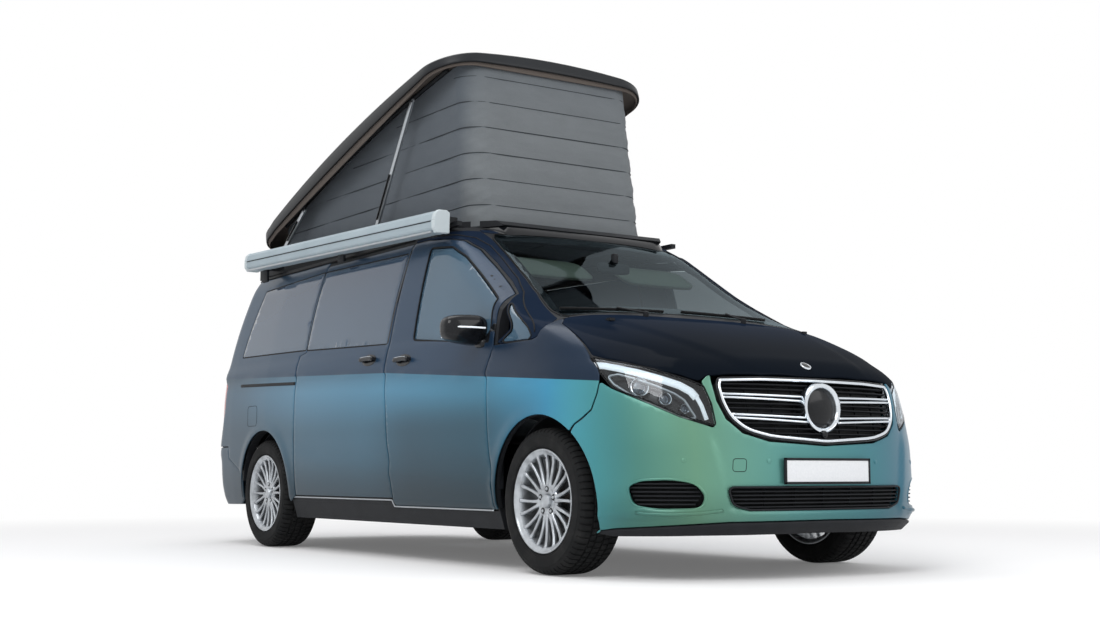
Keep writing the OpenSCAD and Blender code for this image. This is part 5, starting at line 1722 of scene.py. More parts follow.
def make_lid():
    rings = []
    for f in (0.02, 0.15, 0.35, 0.55, 0.72, 0.84, 0.92, 0.965, 0.985):
        rings.append(lid_surface(f, 0.0))
    rings.append(lid_surface(0.995, 5.0))
    rings.append([(u, v, lid_top(u, v) - 13) for u, v in lid_plan(-1.5)])
    lip = lambda u, v: max(8.0, (lid_top(u, v) - 26) * 0.42)
    rings.append([(u, v, lid_top(u, v) * 0.5 + lip(u, v) * 0.5 - 12) for u, v in lid_plan(-3)])
    rings += [[(u, v, lip(u, v) + w) for u, v in lid_plan(i)] for i, w in ((-3, 5), (-1, 0), (5, -2), (11, 1), (13, 8))]
    rings += [lid_surface(f, d) for f, d in ((0.965, 40), (0.9, 26), (0.6, 24), (0.3, 24), (0.02, 24))]
    points = [[at_hinge(*p) for p in ring] for ring in rings]
    lid = shell_mesh("lid_shell", points, "lid_paint", "roof_lid", closed=False, smooth=32)
    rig.replaces(lid, "roof_panel")
    rings = [lid_surface(f, d) for f, d in ((0.02, 27), (0.3, 27), (0.6, 27), (0.86, 29), (0.93, 34), (0.955, 44))]
    rings += [[(u, v, w) for u, v in lid_plan(i)] for i, w in ((25, 24), (23, 12), (21, 7), (17, 8))]
    rings.append([(u, v, lip(u, v) + 3) for u, v in lid_plan(10)])
    shell_mesh("lid_liner", [[at_hinge(*p) for p in ring] for ring in rings], "liner", "roof_lid", closed=False,
               smooth=50, open_end=True)
    tube("lid_seal", [at_hinge(u, v, lip(u, v) - 1) for u, v in lid_plan(3)], 0.005, "rubber", "roof_lid", 3,
         closed=True)
    for s, name in SIDES:
        low, high = sorted((s * 457, s * 503))
        bar = block("lid_arm_" + name, (HINGE_X * MM, low * MM, (HINGE_Z + 1) * MM),
                    ((HINGE_X + 110) * MM, high * MM, (HINGE_Z + 9) * MM), "satin_metal",
                    "roof_lid", 0.002)
        bar.data.transform(about(Vector((HINGE_X, 0, HINGE_Z)) * MM, -LID_DEGREES))
        turned("lid_eye_" + name, [(0.0045, -0.028), (0.0095, -0.028), (0.0105, -0.026), (0.0105, 0.026),
                                   (0.0095, 0.028), (0.0045, 0.028), (0.0045, -0.028)],
               (HINGE_X * MM, s * 0.48, HINGE_Z * MM), (0, 1, 0), "satin_metal", "roof_lid", 32)
        rail = [at_hinge(u, s * 612, lid_top(u, 612) - 44) for u in range(400, 2701, 100)]
        tube("lid_rail_" + name, rail, 0.012, "trim", "roof_lid", 3)


def tent_ring(front):
    """The tent's outline in plan, its front wall at the given place."""
    r, y, back = 130, 588, -2150
    side = [(front - r + r * math.cos(q), y - r + r * math.sin(q)) for q in np.radians(np.linspace(0, 90, 15))]
    side += [(front - r + (back + 2 * r - front) * k / 42, y) for k in range(1, 42)]
    side += [(back + r + r * math.cos(q), y - r + r * math.sin(q)) for q in np.radians(np.linspace(90, 180, 11))]
    nose_line = [(front, (y - r) * t) for t in np.linspace(0, 1, 12)[:-1]]
    tail_line = [(back, (y - r) * t) for t in np.linspace(1, 0, 9)[1:]]
    whole = nose_line + side + tail_line
    return whole + [(x, -v) for x, v in reversed(whole[1:-1])]


def make_tent():
    pitch = user("roof").fold / MM
    low, high = tent_ring(500), tent_ring(345)
    n, m = len(low), 56
    inner = lambda x, y: max(14.0, lid_top((x - HINGE_X) / math.cos(LID_A), y) - 46) / math.cos(LID_A)
    top_z = lambda x, y=560: HINGE_Z + (x - HINGE_X) * math.tan(LID_A) + inner(x, y)

    def wall(j, t):
        """A place on the flat wall, t of the way up, and the way out of it."""
        p = Vector((*low[j], TENT_FOOT)).lerp(Vector((*high[j], top_z(*high[j]))), t)
        prv, nxt = low[(j - 1) % n], low[(j + 1) % n]
        out = Vector((-(nxt[1] - prv[1]), nxt[0] - prv[0], 0)).normalized()
        return p, -out if out.dot(Vector((p.x + 800, p.y, 0))) < 0 else out

    verts = []
    for k in range(m + 1):
        t = k / m
        for j in range(n):
            p, out = wall(j, t)
            lift = (p.z - TENT_FOOT) / pitch
            belly = 5.5 * abs(math.sin(math.pi * lift)) ** 0.7
            corner = math.exp(-(((p.x - 420) / 150) ** 2)) * math.exp(-(((abs(p.y) - 520) / 90) ** 2))
            fold = 2.6 * math.sin(p.z / 21.0 + p.x / 33.0) + 1.8 * math.sin(p.z / 9.5 - p.y / 17.0 + 1.3)
            drape = 3.0 * math.sin(p.x / 160.0 + 0.7) * math.sin(p.z / 210.0) + 1.2 * math.sin(p.x / 57.0 + p.z / 80.0)
            hem = min(1.0, t * 12, (1 - t) * 12)
            p += out * (belly + corner * fold + drape - 3.0) * hem
            verts.append(p * MM)
    faces = [[k * n + j, k * n + (j + 1) % n, (k + 1) * n + (j + 1) % n, (k + 1) * n + j] for k in range(m)
             for j in range(n)]
    cloth = made("tent_cloth", verts, faces, "canvas", "chassis")
    facing_out(cloth)
    spans = [(Vector(low[j]) - Vector(low[(j + 1) % n])).length for j in range(n)]
    round_it = sum(spans) * MM
    flat = sum(span * (top_z(*high[j]) - TENT_FOOT) for j, span in enumerate(spans)) * MM * MM
    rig.replaces(cloth, "tent")
    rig.sheet(cloth, flat=(round_it, (top_z(345) - TENT_FOOT) * MM), area=flat, held="hung", rests_on=["roof_tray"])
    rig.squash(cloth, "roof_hinge", axis=(0, 0, 1), anchor=(0, 0, 1.8), keep=0.1)
    # stitched tapes at each fold line
    tapes = []
    for step in range(1, 7):
        z = TENT_FOOT + pitch * step
        line = []
        for j in list(range(n // 2, n)) + list(range(0, n // 2)):
            top = top_z(*high[j])
            if z > top - 60:
                continue
            p, out = wall(j, (z - TENT_FOOT) / (top - TENT_FOOT))
            line.append((p + out * -2.0) * MM)
        if len(line) > 6:
            tapes.append(tube("tent_tape", line, user("roof").tape / 2, "seam_tape", "chassis", 2))
    tape = joined(tapes, "tent_tapes")
    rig.squash(tape, "roof_hinge", axis=(0, 0, 1), anchor=(0, 0, 1.8), keep=0.1)


def bar_along(name, start, angle, length, y0, y1, depth, look, body, shift=0.0, bevel=0.002):
    """A flat bar from a pivot, leaning back or forward in the side view."""
    low, high = sorted((y0, y1))
    bar = block(name, ((start[0] + shift) * MM, low * MM, (start[1] - depth / 2) * MM),
                ((start[0] + shift + length) * MM, high * MM, (start[1] + depth / 2) * MM),
                look, body, bevel)
    bar.data.transform(about(Vector((start[0], 0, start[1])) * MM, -angle))
    return bar


def make_struts():
    for s, side in SIDES:
        for name, foot, angle, length, body in (("front", (-547, 1908.3), 58, 860, "front_struts"),
                                                ("rear", (-1895, 1977.5), 35, 390, "rear_struts")):
            flat = bar_along("strut_face_" + name + "_" + side, foot, angle, length - 20, s * 686.6, s * 692, 30,
                             "satin_metal", body, 12, 0.0015)
            eye = turned("strut_eye_" + name + "_" + side,
                         [(0.0003, 0.0), (0.014, 0.0), (0.017, 0.002), (0.017, 0.010), (0.009, 0.013), (0.0003, 0.013)],
                         (foot[0] * MM, s * 0.6866, foot[1] * MM), (0, s, 0), "satin_metal", body, 28)
            joined([flat, eye], "strut_face_" + name + "_" + side)
            bar_along("strut_spring_" + name + "_" + side, foot, angle, min(300, length * 0.5), s * 693, s * 705, 12,
                      "gloss_black", body, 90, 0.005)


def make_awning():
    t = math.radians(1.79)
    at = lambda along, y, z: Vector((630 - along * math.cos(t) + z * math.sin(t), -890 + y,
                                     1799 + along * math.sin(t) + z * math.cos(t))) * MM
    outline = [(-0.5, 0.5), (0.4, 0.5), (0.5, 0.3), (0.5, -0.2), (0.34, -0.42), (0.06, -0.5), (0.04, -0.485),
               (0.0, -0.485), (-0.02, -0.5), (-0.3, -0.48), (-0.5, -0.3)]
    soft = softened([(a * 118, b * 92) for a, b in outline], 5)

    def run(name, a, b, grow, look):
        rings = []
        for along, g in ((a, -3), (a + 3, 0), (b - 3, 0), (b, -3)):
            k = 1 + (grow + g) / 55
            rings.append([at(along, q * k, p * k) for p, q in soft])
        return shell_mesh(name, rings, look, "chassis", closed=False, smooth=30)

    case = run("awning_case", 26, 2574, 0, "awning_silver")
    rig.replaces(case, "awning")
    run("awning_cap_front", -2, 32, 2.5, "pale_plastic")
    run("awning_cap_rear", 2568, 2602, 2.5, "pale_plastic")
    line = [at(a, -47.4, 1) for a in range(40, 2570, 120)]
    tube("awning_gap", line, 0.0022, "rubber", "chassis")
    rail = [at(a, -38, -56) for a in range(40, 2570, 120)]
    tube("awning_front_rail", rail, 0.007, "satin_metal", "chassis")
    for k, x in enumerate((-1815, -665, 485)):
        block("awning_hook_" + str(k + 1), ((x - 40) * MM, -0.856, 1.735 + 0.001 * k), ((x + 40) * MM, -0.838, 1.855),
              "black_plastic", "chassis", 0.005, 3)


# ---------------------------------------------------------------- cabin, in metres
CABIN_FLOOR = 0.346
FRONT_BACK_TURN, BENCH_BACK_TURN = (-12, (0.33, 0, 0.645)), (-8, (-1.12, 0, 0.645))


def soft(name, low, high, look, body="chassis", fill=0.8, power=3.6, turn=None, cuts=12, sag=0.0, channels=0):
    """A padded form with a crowned top and sewn channels across it."""
    def shape(p):
        rise = 0.0
        if channels:
            rise = -0.045 * (abs(math.cos(math.pi * channels * (p.y + 1) / 2)) ** 14) * (1 if p.z > 0.3
                                                                                         or abs(p.x) > 0.3 else 0)
        pull = 1 - 0.03 * abs(p.x * p.y)
        return (p.x * pull + (rise if abs(p.x) > 0.6 else 0) * (1 if p.x > 0 else -1) * 0.6, p.y * pull,
                p.z + (rise if p.z > 0.4 else 0))
    piece = pillow(name, low, high, look, body, power, cuts, turn, shape)
    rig.padded(piece, fill=fill)
    return piece


def make_seats():
    turn = FRONT_BACK_TURN
    for s, side in SIDES:
        a, b = sorted((s * 0.345, s * 0.815))
        cushion = soft("seat_cushion_" + side, (0.37, a, 0.615), (0.895, b, 0.762), "seat_cloth", channels=3)
        if s > 0:
            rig.replaces(cushion, "front_seats")
        for k, (c, d) in enumerate((sorted((s * 0.335, s * 0.405)), sorted((s * 0.755, s * 0.825)))):
            soft("seat_bolster_" + side + "_" + str(k + 1), (0.39, c, 0.66), (0.86, d, 0.79), "seat_cloth")
            soft("back_bolster_" + side + "_" + str(k + 1), (0.335, c, 0.74), (0.475, d, 1.18), "seat_cloth", turn=turn)
        soft("seat_back_" + side, (0.325, a + 0.01, 0.66), (0.455, b - 0.01, 1.275), "seat_cloth", turn=turn,
             channels=3)
        soft("headrest_" + side, (0.345, s * 0.58 - 0.12, 1.285), (0.435, s * 0.58 + 0.12, 1.475), "seat_cloth",
             turn=turn, power=3)
        posts = [tube("headrest_post", [(0.39, s * 0.58 + d, 1.24), (0.39, s * 0.58 + d, 1.31)], 0.006, "chrome",
                      "chassis") for d in (-0.06, 0.06)]
        for p in posts:
            p.data.transform(about(turn[1], turn[0]))
        joined(posts, "headrest_posts_" + side)
        c, d = sorted((s * 0.40, s * 0.76))
        block("seat_pedestal_" + side, (0.43, c, CABIN_FLOOR), (0.79, d, 0.62), "trim", "chassis", 0.025, 4)
        rest = sorted((s * 0.295, s * 0.34))
        soft("armrest_" + side, (0.40, rest[0], 0.86), (0.72, rest[1], 0.92), "trim")


def make_bench():
    turn = BENCH_BACK_TURN
    for k, (a, b) in enumerate(((-0.775, -0.385), (-0.38, 0.0), (0.005, 0.395))):
        cushion = soft("bench_cushion_" + str(k + 1), (-1.09, a, 0.61), (-0.51, b, 0.76), "seat_cloth", channels=2)
        if k == 0:
            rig.replaces(cushion, "rear_bench")
        soft("bench_back_" + str(k + 1), (-1.115, a, 0.65), (-0.995, b, 1.355), "seat_cloth", turn=turn, channels=2)
        mid = (a + b) / 2
        soft("bench_headrest_" + str(k + 1), (-1.10, mid - 0.11, 1.352), (-1.02, mid + 0.11, 1.375), "seat_cloth",
             turn=turn, power=3)
    block("bench_box", (-1.09, -0.775, CABIN_FLOOR), (-0.545, 0.395, 0.62), "trim", "chassis", 0.02, 3)
    block("bed_board", (-2.225, -0.815, 0.748), (-1.215, 0.815, 0.766), "wood", "chassis", 0.004)
    soft("bed_mattress", (-2.22, -0.81, 0.765), (-1.22, 0.81, 0.807), "seat_cloth", power=8, channels=3)


def make_kitchen():
    carcass = block("kitchen_carcass", (-1.105, 0.505, CABIN_FLOOR), (0.125, 0.828, 1.095), "pale_trim", "chassis",
                    0.006)
    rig.replaces(carcass, "kitchen_unit")
    for k, (a, b) in enumerate(((-1.095, -0.70), (-0.69, -0.29), (-0.28, 0.115))):
        block("kitchen_door_" + str(k + 1), (a, 0.492, 0.40), (b, 0.506, 1.0), "wood", "chassis", 0.004, 3)
        turned("kitchen_knob_" + str(k + 1), [(0.0003, 0.016), (0.011, 0.015), (0.014, 0.010), (0.008, 0.0),
                                              (0.0003, 0.0)], ((a + b) / 2, 0.492, 0.95), (0, -1, 0),
               "chrome", "chassis", 24)
    block("kitchen_top", (-1.108, 0.492, 1.095), (0.128, 0.83, 1.125), "wood", "chassis", 0.008, 4)
    turned("kitchen_sink", [(0.0003, -0.002), (0.11, -0.002), (0.13, 0.004), (0.14, 0.006), (0.145, 0.003),
                            (0.145, -0.004), (0.0003, -0.006)], (-0.2, 0.66, 1.127),
           (0, 0, 1), "satin_metal", "chassis", 40)
    for k, x in enumerate((-0.85, -0.60)):
        turned("kitchen_burner_" + str(k + 1), [(0.02, 0.0), (0.075, 0.0), (0.08, 0.006), (0.06, 0.010), (0.03, 0.010),
                                                (0.02, 0.0)], (x, 0.66, 1.126), (0, 0, 1),
               "iron", "chassis", 36)


def make_dash():
    top = pillow("dash_top", (1.185, -0.758, 0.885), (1.498, 0.758, 1.088), "trim", "chassis", 5, 14,
                 shape=lambda p: (p.x, p.y, p.z - 0.10 * (abs(p.y) ** 6)))
    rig.replaces(top, "dashboard")
    pillow("dash_low", (1.215, -0.755, 0.80), (1.49, 0.755, 0.93), "trim", "chassis", 6, 10)
    pillow("dash_hood", (1.15, 0.24, 1.02), (1.38, 0.56, 1.112), "trim", "chassis", 3.4, 10)
    block("dash_dials", (1.176, 0.27, 0.955), (1.20, 0.53, 1.04), "gloss_black", "chassis", 0.008, 3,
          turn=(-18, (1.18, 0, 1.0)))
    block("dash_screen", (1.168, -0.115, 1.03), (1.184, 0.115, 1.16), "gloss_black", "chassis", 0.006, 3,
          turn=(8, (1.18, 0, 1.08)))
    for k, y in enumerate((-0.66, -0.07, 0.07, 0.66)):
        turned("dash_vent_" + str(k + 1), [(0.0003, 0.004), (0.022, 0.004), (0.026, 0.010), (0.036, 0.012),
                                           (0.039, 0.006), (0.039, -0.02), (0.0003, -0.02)],
               (1.186, y, 0.985), (-1, 0, 0.1), "gloss_black", "chassis", 32)
    pillow("console", (1.225, -0.175, 0.36), (1.46, 0.175, 0.88), "trim", "chassis", 6, 8)
    block("console_face", (1.222, -0.12, 0.66), (1.236, 0.12, 0.84), "gloss_black", "chassis", 0.006, 3)
    turned("gear_knob", [(0.0003, 0.07), (0.018, 0.064), (0.022, 0.045), (0.014, 0.02), (0.012, 0.0), (0.0003, 0.0)],
           (1.235, 0.06, 0.64), (-0.9, 0, 0.6),
           "gloss_black", "chassis", 24)


def make_wheel_hand():
    """Steering wheel on its column."""
    tilt = math.radians(-65)
    centre = Vector((1.010, 0.4, 1.005))
    place = Matrix.Translation(centre) @ Matrix.Rotation(tilt, 4, "Y")
    ring = [(0.175 * math.cos(a), 0.175 * math.sin(a), 0.0) for a in np.linspace(0, 2 * math.pi, 61)[:-1]]
    rim = tube("hand_wheel", ring, 0.0145, "trim", "steering_column", 4, closed=True)
    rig.replaces(rim, "steering_wheel")
    pieces = [rim]
    for degrees in (180, 270, 90):
        c, s = math.cos(math.radians(degrees)), math.sin(math.radians(degrees))
        pieces.append(tube("hand_spoke", [(0.03 * c, 0.03 * s, -0.012), (0.10 * c, 0.10 * s, -0.010),
                                          (0.172 * c, 0.172 * s, 0)], 0.011, "trim", "steering_column"))
    pad = pillow("hand_wheel_pad", (-0.062, -0.07, -0.035), (0.062, 0.07, 0.018), "trim", "steering_column", 3.4, 8)
    hub = turned("hand_wheel_hub", [(0.0003, -0.02), (0.03, -0.02), (0.032, -0.06), (0.024, -0.08), (0.022, -0.20),
                                    (0.0003, -0.20)], (0, 0, 0), (0, 0, 1),
                 "gloss_black", "steering_column", 32)
    whole = joined(pieces + [pad], "hand_wheel")
    for p in (whole, hub):
        p.data.transform(place)


# ---------------------------------------------------------------- stage
CAMERA_AT, CAMERA_TILT, CAMERA_TURN = (7.398, -4.748, 0.470), 96.27, 56.08
CAMERA_LENS, CAMERA_SENSOR, CAMERA_REACH = 48.39, 36.0, 300
# brightness of the surroundings from straight below (0) to straight above (1), and their strength
SKY, SKY_STRENGTH = ((0.0, 0.34), (0.47, 0.42), (0.54, 0.66), (0.66, 0.9), (1.0, 1.0)), 0.64
FLOOR_SIZE, FLOOR_TONE, FLOOR_NEAR, FLOOR_FAR, FLOOR_GLOW = 120, 0.96, 3.6, 8.5, 0.14
# name, place, aim and size of each light; its power is the user's
LIGHTS = (("key", (5.5, -7.5, 7.5), (0.6, 0, 1.0), 5.0), ("fill", (8.5, 3.5, 5.0), (1.0, 0, 1.0), 5.0),
          ("top", (-1.0, -1.0, 9.0), (0, 0, 1.0), 6.0))


def seen_rays(tree, path):
    """1 for what the camera, a mirror or a pane looks at, and 0 for what lights the object."""
    total = path.outputs["Is Camera Ray"]
    for name in ("Is Glossy Ray", "Is Transmission Ray"):
        add = tree.nodes.new("ShaderNodeMath")
        add.use_clamp = True
        tree.links.new(total, add.inputs[0])
        tree.links.new(path.outputs[name], add.inputs[1])
        total = add.outputs[0]
    return total


def make_world():
    """Pale surroundings that light the object, seen as plain white."""
    scene = bpy.context.scene
    scene.view_settings.view_transform = "Standard"
    world = bpy.data.worlds.new("studio")
    scene.world = world
    world.use_nodes = True
    tree = world.node_tree
    tree.nodes.clear()
    out = tree.nodes.new("ShaderNodeOutputWorld")
    path = tree.nodes.new("ShaderNodeLightPath")
    at = tree.nodes.new("ShaderNodeTexCoord")
    split = tree.nodes.new("ShaderNodeSeparateXYZ")
    ramp = tree.nodes.new("ShaderNodeValToRGB")
    tree.links.new(at.outputs["Generated"], split.inputs[0])
    span = tree.nodes.new("ShaderNodeMapRange")
    span.inputs[1].default_value, span.inputs[2].default_value = -1, 1
    tree.links.new(split.outputs[2], span.inputs[0])
    tree.links.new(span.outputs[0], ramp.inputs[0])
    while len(ramp.color_ramp.elements) < len(SKY):
        ramp.color_ramp.elements.new(0.5)
    for element, (place, level) in zip(ramp.color_ramp.elements, SKY):
        element.position = place
        element.color = (level, level, level * 1.02, 1)
    soft = tree.nodes.new("ShaderNodeBackground")
    tree.links.new(ramp.outputs[0], soft.inputs[0])
    soft.inputs[1].default_value = SKY_STRENGTH
    white = tree.nodes.new("ShaderNodeBackground")
    white.inputs[0].default_value = (1, 1, 1, 1)
    mix = tree.nodes.new("ShaderNodeMixShader")
    tree.links.new(seen_rays(tree, path), mix.inputs[0])
    tree.links.new(soft.outputs[0], mix.inputs[1])
    tree.links.new(white.outputs[0], mix.inputs[2])
    tree.links.new(mix.outputs[0], out.inputs[0])


def make_floor():
    """White floor that keeps shadows and glows towards its edge."""
    fresh()
    bpy.ops.mesh.primitive_plane_add(size=FLOOR_SIZE, location=(0, 0, 0))
    floor = bpy.context.object
    floor.name = "studio_floor"
    look = Look("floor_white")
    look.set(Base_Color=(FLOOR_TONE, FLOOR_TONE, FLOOR_TONE, 1), Roughness=0.95, Specular_IOR_Level=0.0)
    x, y, _ = look.axes()
    far = (x * x + y * y).math("SQRT").within(FLOOR_NEAR, FLOOR_FAR)
    path = Value(look, seen_rays(look.tree, look.tree.nodes.new("ShaderNodeLightPath")))
    glow = look.tree.nodes.new("ShaderNodeEmission")
    both = look.tree.nodes.new("ShaderNodeMixShader")
    look.feed(both.inputs[0], (far * (1 - FLOOR_GLOW) + FLOOR_GLOW) * path)
    look.tree.links.new(look.shader.outputs[0], both.inputs[1])
    look.tree.links.new(glow.outputs[0], both.inputs[2])
    look.tree.links.new(both.outputs[0], look.output.inputs[0])
    floor.data.materials.append(look.material)
    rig.stage(floor)
    floor.select_set(False)


def make_stage():
    make_world()
    make_floor()
    for name, at, aim, size in LIGHTS:
        data = bpy.data.lights.new(name, "AREA")
        data.size, data.energy = size, getattr(user("stage"), name)
        lamp = bpy.data.objects.new(name, data)
        bpy.context.collection.objects.link(lamp)
        lamp.location = at
        lamp.rotation_euler = (Vector(aim) - Vector(at)).to_track_quat("-Z", "Y").to_euler()


def make_camera():
    data = bpy.data.cameras.new("view")
    data.lens, data.sensor_width = CAMERA_LENS, CAMERA_SENSOR
    data.clip_end = CAMERA_REACH
    camera = bpy.data.objects.new("view", data)
    bpy.context.collection.objects.link(camera)
    camera.location = CAMERA_AT
    camera.rotation_euler = (math.radians(CAMERA_TILT), 0, math.radians(CAMERA_TURN))
    bpy.context.scene.camera = camera


def dress_frame():
    """Finishes for the modelled frame's own pieces."""
    finishes = {
        "black_plastic": ["body_shell", "arch_liners", "front_fenders", "front_carrier", "front_door_left",
                          "front_door_right", "sliding_door",
                          "tailgate", "bonnet", "side_sills", "awning_brackets", "roof_tray"],
        "under": ["floor_pan", "bulkhead", "fuel_tank", "engine_block"],
        "iron": ["knuckle_left", "knuckle_right", "front_axle", "rear_axle"],
        "satin_metal": ["roof_struts_front", "roof_struts_rear", "exhaust"],
    }
    for look, nodes in finishes.items():
        for node in nodes:
            for place in frame["nodes"][node].material_slots:
                place.material = finish(look)


# ---------------------------------------------------------------- the user's sizes and colours
def colour(name, text, *shade):
    return bpy.props.FloatVectorProperty(name=name, description=text, default=linear(*shade), size=4, subtype="COLOR",
                                         min=0, max=1)


def length(name, text, size, low, high):
    """A length whose default and limits are given in millimetres."""
    return bpy.props.FloatProperty(name=name, description=text, default=size * MM, min=low * MM, max=high * MM,
                                   unit="LENGTH")


class VanPaint(bpy.types.PropertyGroup):
    """Paint of the body."""

    mint: colour("Mint", "Colour of the nose beside the grille", 124, 180, 150)
    wing_blue: colour("Wing blue", "Colour over the front wheels", 56, 146, 184)
    door_blue: colour("Door blue", "Colour of the front doors below the shoulder", 74, 134, 164)
    upper: colour("Upper film", "Colour of the front doors above the shoulder", 32, 56, 80)


class VanRoof(bpy.types.PropertyGroup):
    """Raising roof and its tent."""

    cloth: colour("Cloth", "Colour of the tent's front", 112, 117, 120)
    fold: length("Fold pitch", "Height of each fold of the tent", 152, 90, 260)
    tape: length("Tape width", "Thickness of the stitched tape along each fold", 6.4, 3, 20)


class VanWheels(bpy.types.PropertyGroup):
    """Tyres and rims."""

    alloy: colour("Alloy", "Colour of the rims", 186, 191, 196)
    blocks: bpy.props.IntProperty(name="Tread blocks", description="Number of tread blocks round a tyre", default=66,
                                  min=40, max=90)
    cut: length("Tread depth", "Depth of the cuts between the tread blocks", 6, 2, 10)


class VanCabin(bpy.types.PropertyGroup):
    """Cabin."""

    seat: colour("Seat cloth", "Lighter colour of the seats' cloth", 60, 62, 66)
    board: colour("Boards", "Lighter colour of the wooden boards", 196, 176, 144)


class VanStage(bpy.types.PropertyGroup):
    """Studio."""

    key: bpy.props.FloatProperty(name="Key light", description="Power of the light in front of the van", default=420,
                                 min=0, max=2000)
    fill: bpy.props.FloatProperty(name="Fill light", description="Power of the light at its far side", default=160,
                                  min=0, max=2000)
    top: bpy.props.FloatProperty(name="Top light", description="Power of the light above it", default=260, min=0,
                                 max=2000)


GROUPS = {"paint": VanPaint, "roof": VanRoof, "wheels": VanWheels, "cabin": VanCabin, "stage": VanStage}


# ---------------------------------------------------------------- operators
class VAN_OT_camera(bpy.types.Operator):
    """Sets the camera"""
    bl_idname, bl_label = "van.camera", "Camera"

    def execute(self, context):
        make_camera()
        return {"FINISHED"}


class VAN_OT_stage(bpy.types.Operator):
    """Lays the pale floor and hangs the studio lights"""
    bl_idname, bl_label = "van.stage", "Studio"

    def execute(self, context):
        make_stage()
        return {"FINISHED"}


class VAN_OT_frame(bpy.types.Operator):
    """Gives the modelled frame's own pieces their finishes"""
    bl_idname, bl_label = "van.frame", "Frame finishes"

    def execute(self, context):
        dress_frame()
        return {"FINISHED"}


class VAN_OT_sides(bpy.types.Operator):
    """Skins the wings, pillars, doors and rear quarters, with their panes"""
    bl_idname, bl_label = "van.sides", "Body sides and doors"

    def execute(self, context):
        make_sides()
        return {"FINISHED"}


class VAN_OT_bonnet(bpy.types.Operator):
    """Skins the bonnet"""
    bl_idname, bl_label = "van.bonnet", "Bonnet"

    def execute(self, context):
        make_bonnet()
        return {"FINISHED"}


class VAN_OT_screen(bpy.types.Operator):
    """Fits the windscreen, its dark band and seal"""
    bl_idname, bl_label = "van.screen", "Windscreen"

    def execute(self, context):
        make_screen()
        return {"FINISHED"}


class VAN_OT_bumper(bpy.types.Operator):
    """Skins the front bumper and its lip"""
    bl_idname, bl_label = "van.bumper", "Front bumper"

    def execute(self, context):
        make_bumper()
        return {"FINISHED"}


class VAN_OT_tail(bpy.types.Operator):
    """Skins the tailgate and rear bumper"""
    bl_idname, bl_label = "van.tail", "Tailgate and rear bumper"

    def execute(self, context):
        make_tail()
        return {"FINISHED"}


class VAN_OT_lamps(bpy.types.Operator):
    """Fits the headlamps"""
    bl_idname, bl_label = "van.lamps", "Lamps"

    def execute(self, context):
        make_lamps()
        return {"FINISHED"}


class VAN_OT_grille(bpy.types.Operator):
    """Fits the upper grille with its bars and plain badges"""
    bl_idname, bl_label = "van.grille", "Upper grille"

    def execute(self, context):
        make_grille()
        return {"FINISHED"}


class VAN_OT_intakes(bpy.types.Operator):
    """Fits the lower grille and side intakes"""
    bl_idname, bl_label = "van.intakes", "Lower grille and intakes"

    def execute(self, context):
        make_intakes()
        return {"FINISHED"}


class VAN_OT_plates(bpy.types.Operator):
    """Fits the two blank plates in their holders"""
    bl_idname, bl_label = "van.plates", "Plates"

    def execute(self, context):
        make_plates()
        return {"FINISHED"}


class VAN_OT_wheels(bpy.types.Operator):
    """Makes one wheel and copies it to the other corners"""
    bl_idname, bl_label = "van.wheels", "Wheels"

    def execute(self, context):
        make_wheels()
        return {"FINISHED"}


class VAN_OT_mirrors(bpy.types.Operator):
    """Fits the door mirrors"""
    bl_idname, bl_label = "van.mirrors", "Door mirrors"

    def execute(self, context):
        make_mirrors()
        return {"FINISHED"}


class VAN_OT_handles(bpy.types.Operator):
    """Fits the door handles"""
    bl_idname, bl_label = "van.handles", "Door handles"

    def execute(self, context):
        make_handles()
        return {"FINISHED"}


class VAN_OT_trims(bpy.types.Operator):
    """Fits the rails, strips, wipers, roof cap and small trims"""
    bl_idname, bl_label = "van.trims", "Trims and wipers"

    def execute(self, context):
        make_trims()
        return {"FINISHED"}


class VAN_OT_lid(bpy.types.Operator):
    """Makes the raising roof panel with its felt and seal"""
    bl_idname, bl_label = "van.lid", "Raising roof"

    def execute(self, context):
        make_lid()
        return {"FINISHED"}


class VAN_OT_tent(bpy.types.Operator):
    """Makes the tent cloth and its tapes"""
    bl_idname, bl_label = "van.tent", "Tent"

    def execute(self, context):
        make_tent()
        return {"FINISHED"}


class VAN_OT_struts(bpy.types.Operator):
    """Dresses the roof's struts"""
    bl_idname, bl_label = "van.struts", "Struts"

    def execute(self, context):
        make_struts()
        return {"FINISHED"}


class VAN_OT_awning(bpy.types.Operator):
    """Makes the awning's case"""
    bl_idname, bl_label = "van.awning", "Awning"

    def execute(self, context):
        make_awning()
        return {"FINISHED"}


class VAN_OT_seats(bpy.types.Operator):
    """Makes the front seats"""
    bl_idname, bl_label = "van.seats", "Front seats"

    def execute(self, context):
        make_seats()
        return {"FINISHED"}


class VAN_OT_bench(bpy.types.Operator):
    """Makes the rear bench and the bed behind it"""
    bl_idname, bl_label = "van.bench", "Bench and bed"

    def execute(self, context):
        make_bench()
        return {"FINISHED"}


class VAN_OT_kitchen(bpy.types.Operator):
    """Makes the kitchen unit"""
    bl_idname, bl_label = "van.kitchen", "Kitchen"

    def execute(self, context):
        make_kitchen()
        return {"FINISHED"}


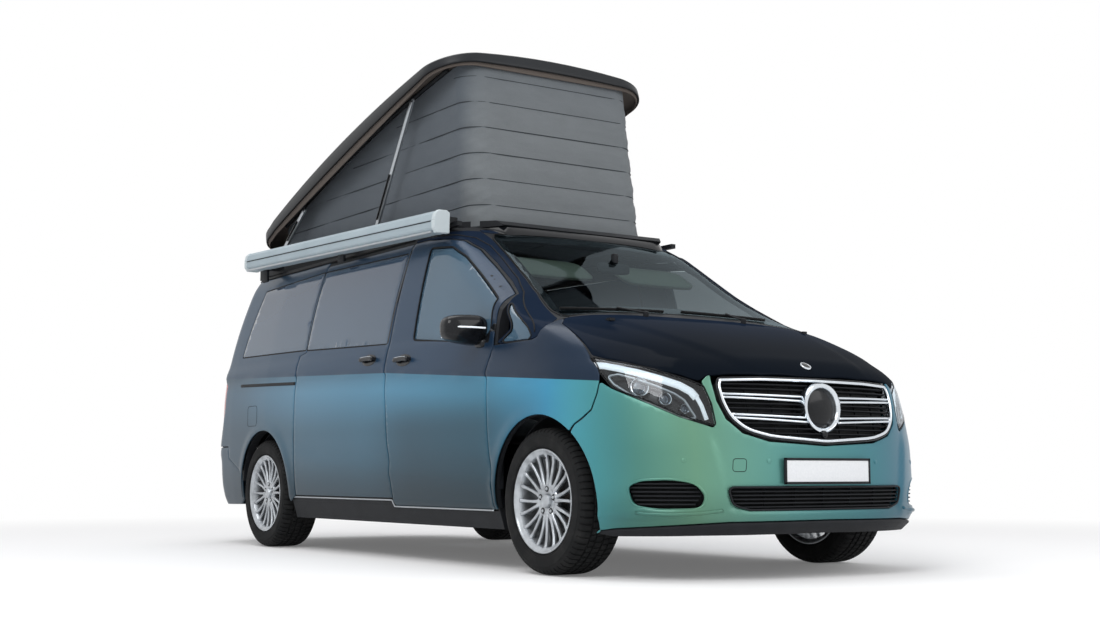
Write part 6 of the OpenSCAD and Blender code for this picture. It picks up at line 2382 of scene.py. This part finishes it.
class VAN_OT_dash(bpy.types.Operator):
    """Makes the dashboard and console"""
    bl_idname, bl_label = "van.dash", "Dashboard"

    def execute(self, context):
        make_dash()
        return {"FINISHED"}


class VAN_OT_hand_wheel(bpy.types.Operator):
    """Makes the steering wheel"""
    bl_idname, bl_label = "van.hand_wheel", "Steering wheel"

    def execute(self, context):
        make_wheel_hand()
        return {"FINISHED"}


OPERATORS = (VAN_OT_camera, VAN_OT_stage, VAN_OT_frame, VAN_OT_sides, VAN_OT_bonnet, VAN_OT_screen, VAN_OT_bumper,
             VAN_OT_tail, VAN_OT_lamps,
             VAN_OT_grille, VAN_OT_intakes, VAN_OT_plates, VAN_OT_wheels, VAN_OT_mirrors, VAN_OT_handles, VAN_OT_trims,
             VAN_OT_lid, VAN_OT_tent,
             VAN_OT_struts, VAN_OT_awning, VAN_OT_seats, VAN_OT_bench, VAN_OT_kitchen, VAN_OT_dash, VAN_OT_hand_wheel)


class VAN_PT_panel(bpy.types.Panel):
    """The van's settings and the buttons that build it"""
    bl_idname, bl_label = "VAN_PT_panel", "Camper van"
    bl_space_type, bl_region_type, bl_category = "VIEW_3D", "UI", "Camper"

    def draw(self, context):
        for name, group in GROUPS.items():
            box = self.layout.box()
            box.label(text=name.title())
            for key in group.__annotations__:
                box.prop(user(name), key)
        for operator in OPERATORS:
            self.layout.operator(operator.bl_idname)


def register():
    for item in (*GROUPS.values(), *OPERATORS, VAN_PT_panel):
        bpy.utils.register_class(item)
    for name, group in GROUPS.items():
        setattr(bpy.types.Scene, "van_" + name, bpy.props.PointerProperty(type=group))


def unregister():
    for name in GROUPS:
        delattr(bpy.types.Scene, "van_" + name)
    for item in (VAN_PT_panel, *OPERATORS[::-1], *GROUPS.values()):
        bpy.utils.unregister_class(item)


def main():
    register()
    for operator in OPERATORS:
        getattr(bpy.ops.van, operator.bl_idname[4:])()
    with open("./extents.json", "w") as out:
        json.dump({"cad": cad_box, "visual": [[float(v) for v in corner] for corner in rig.bounds()]}, out)


if __name__ == "__main__":
    main()
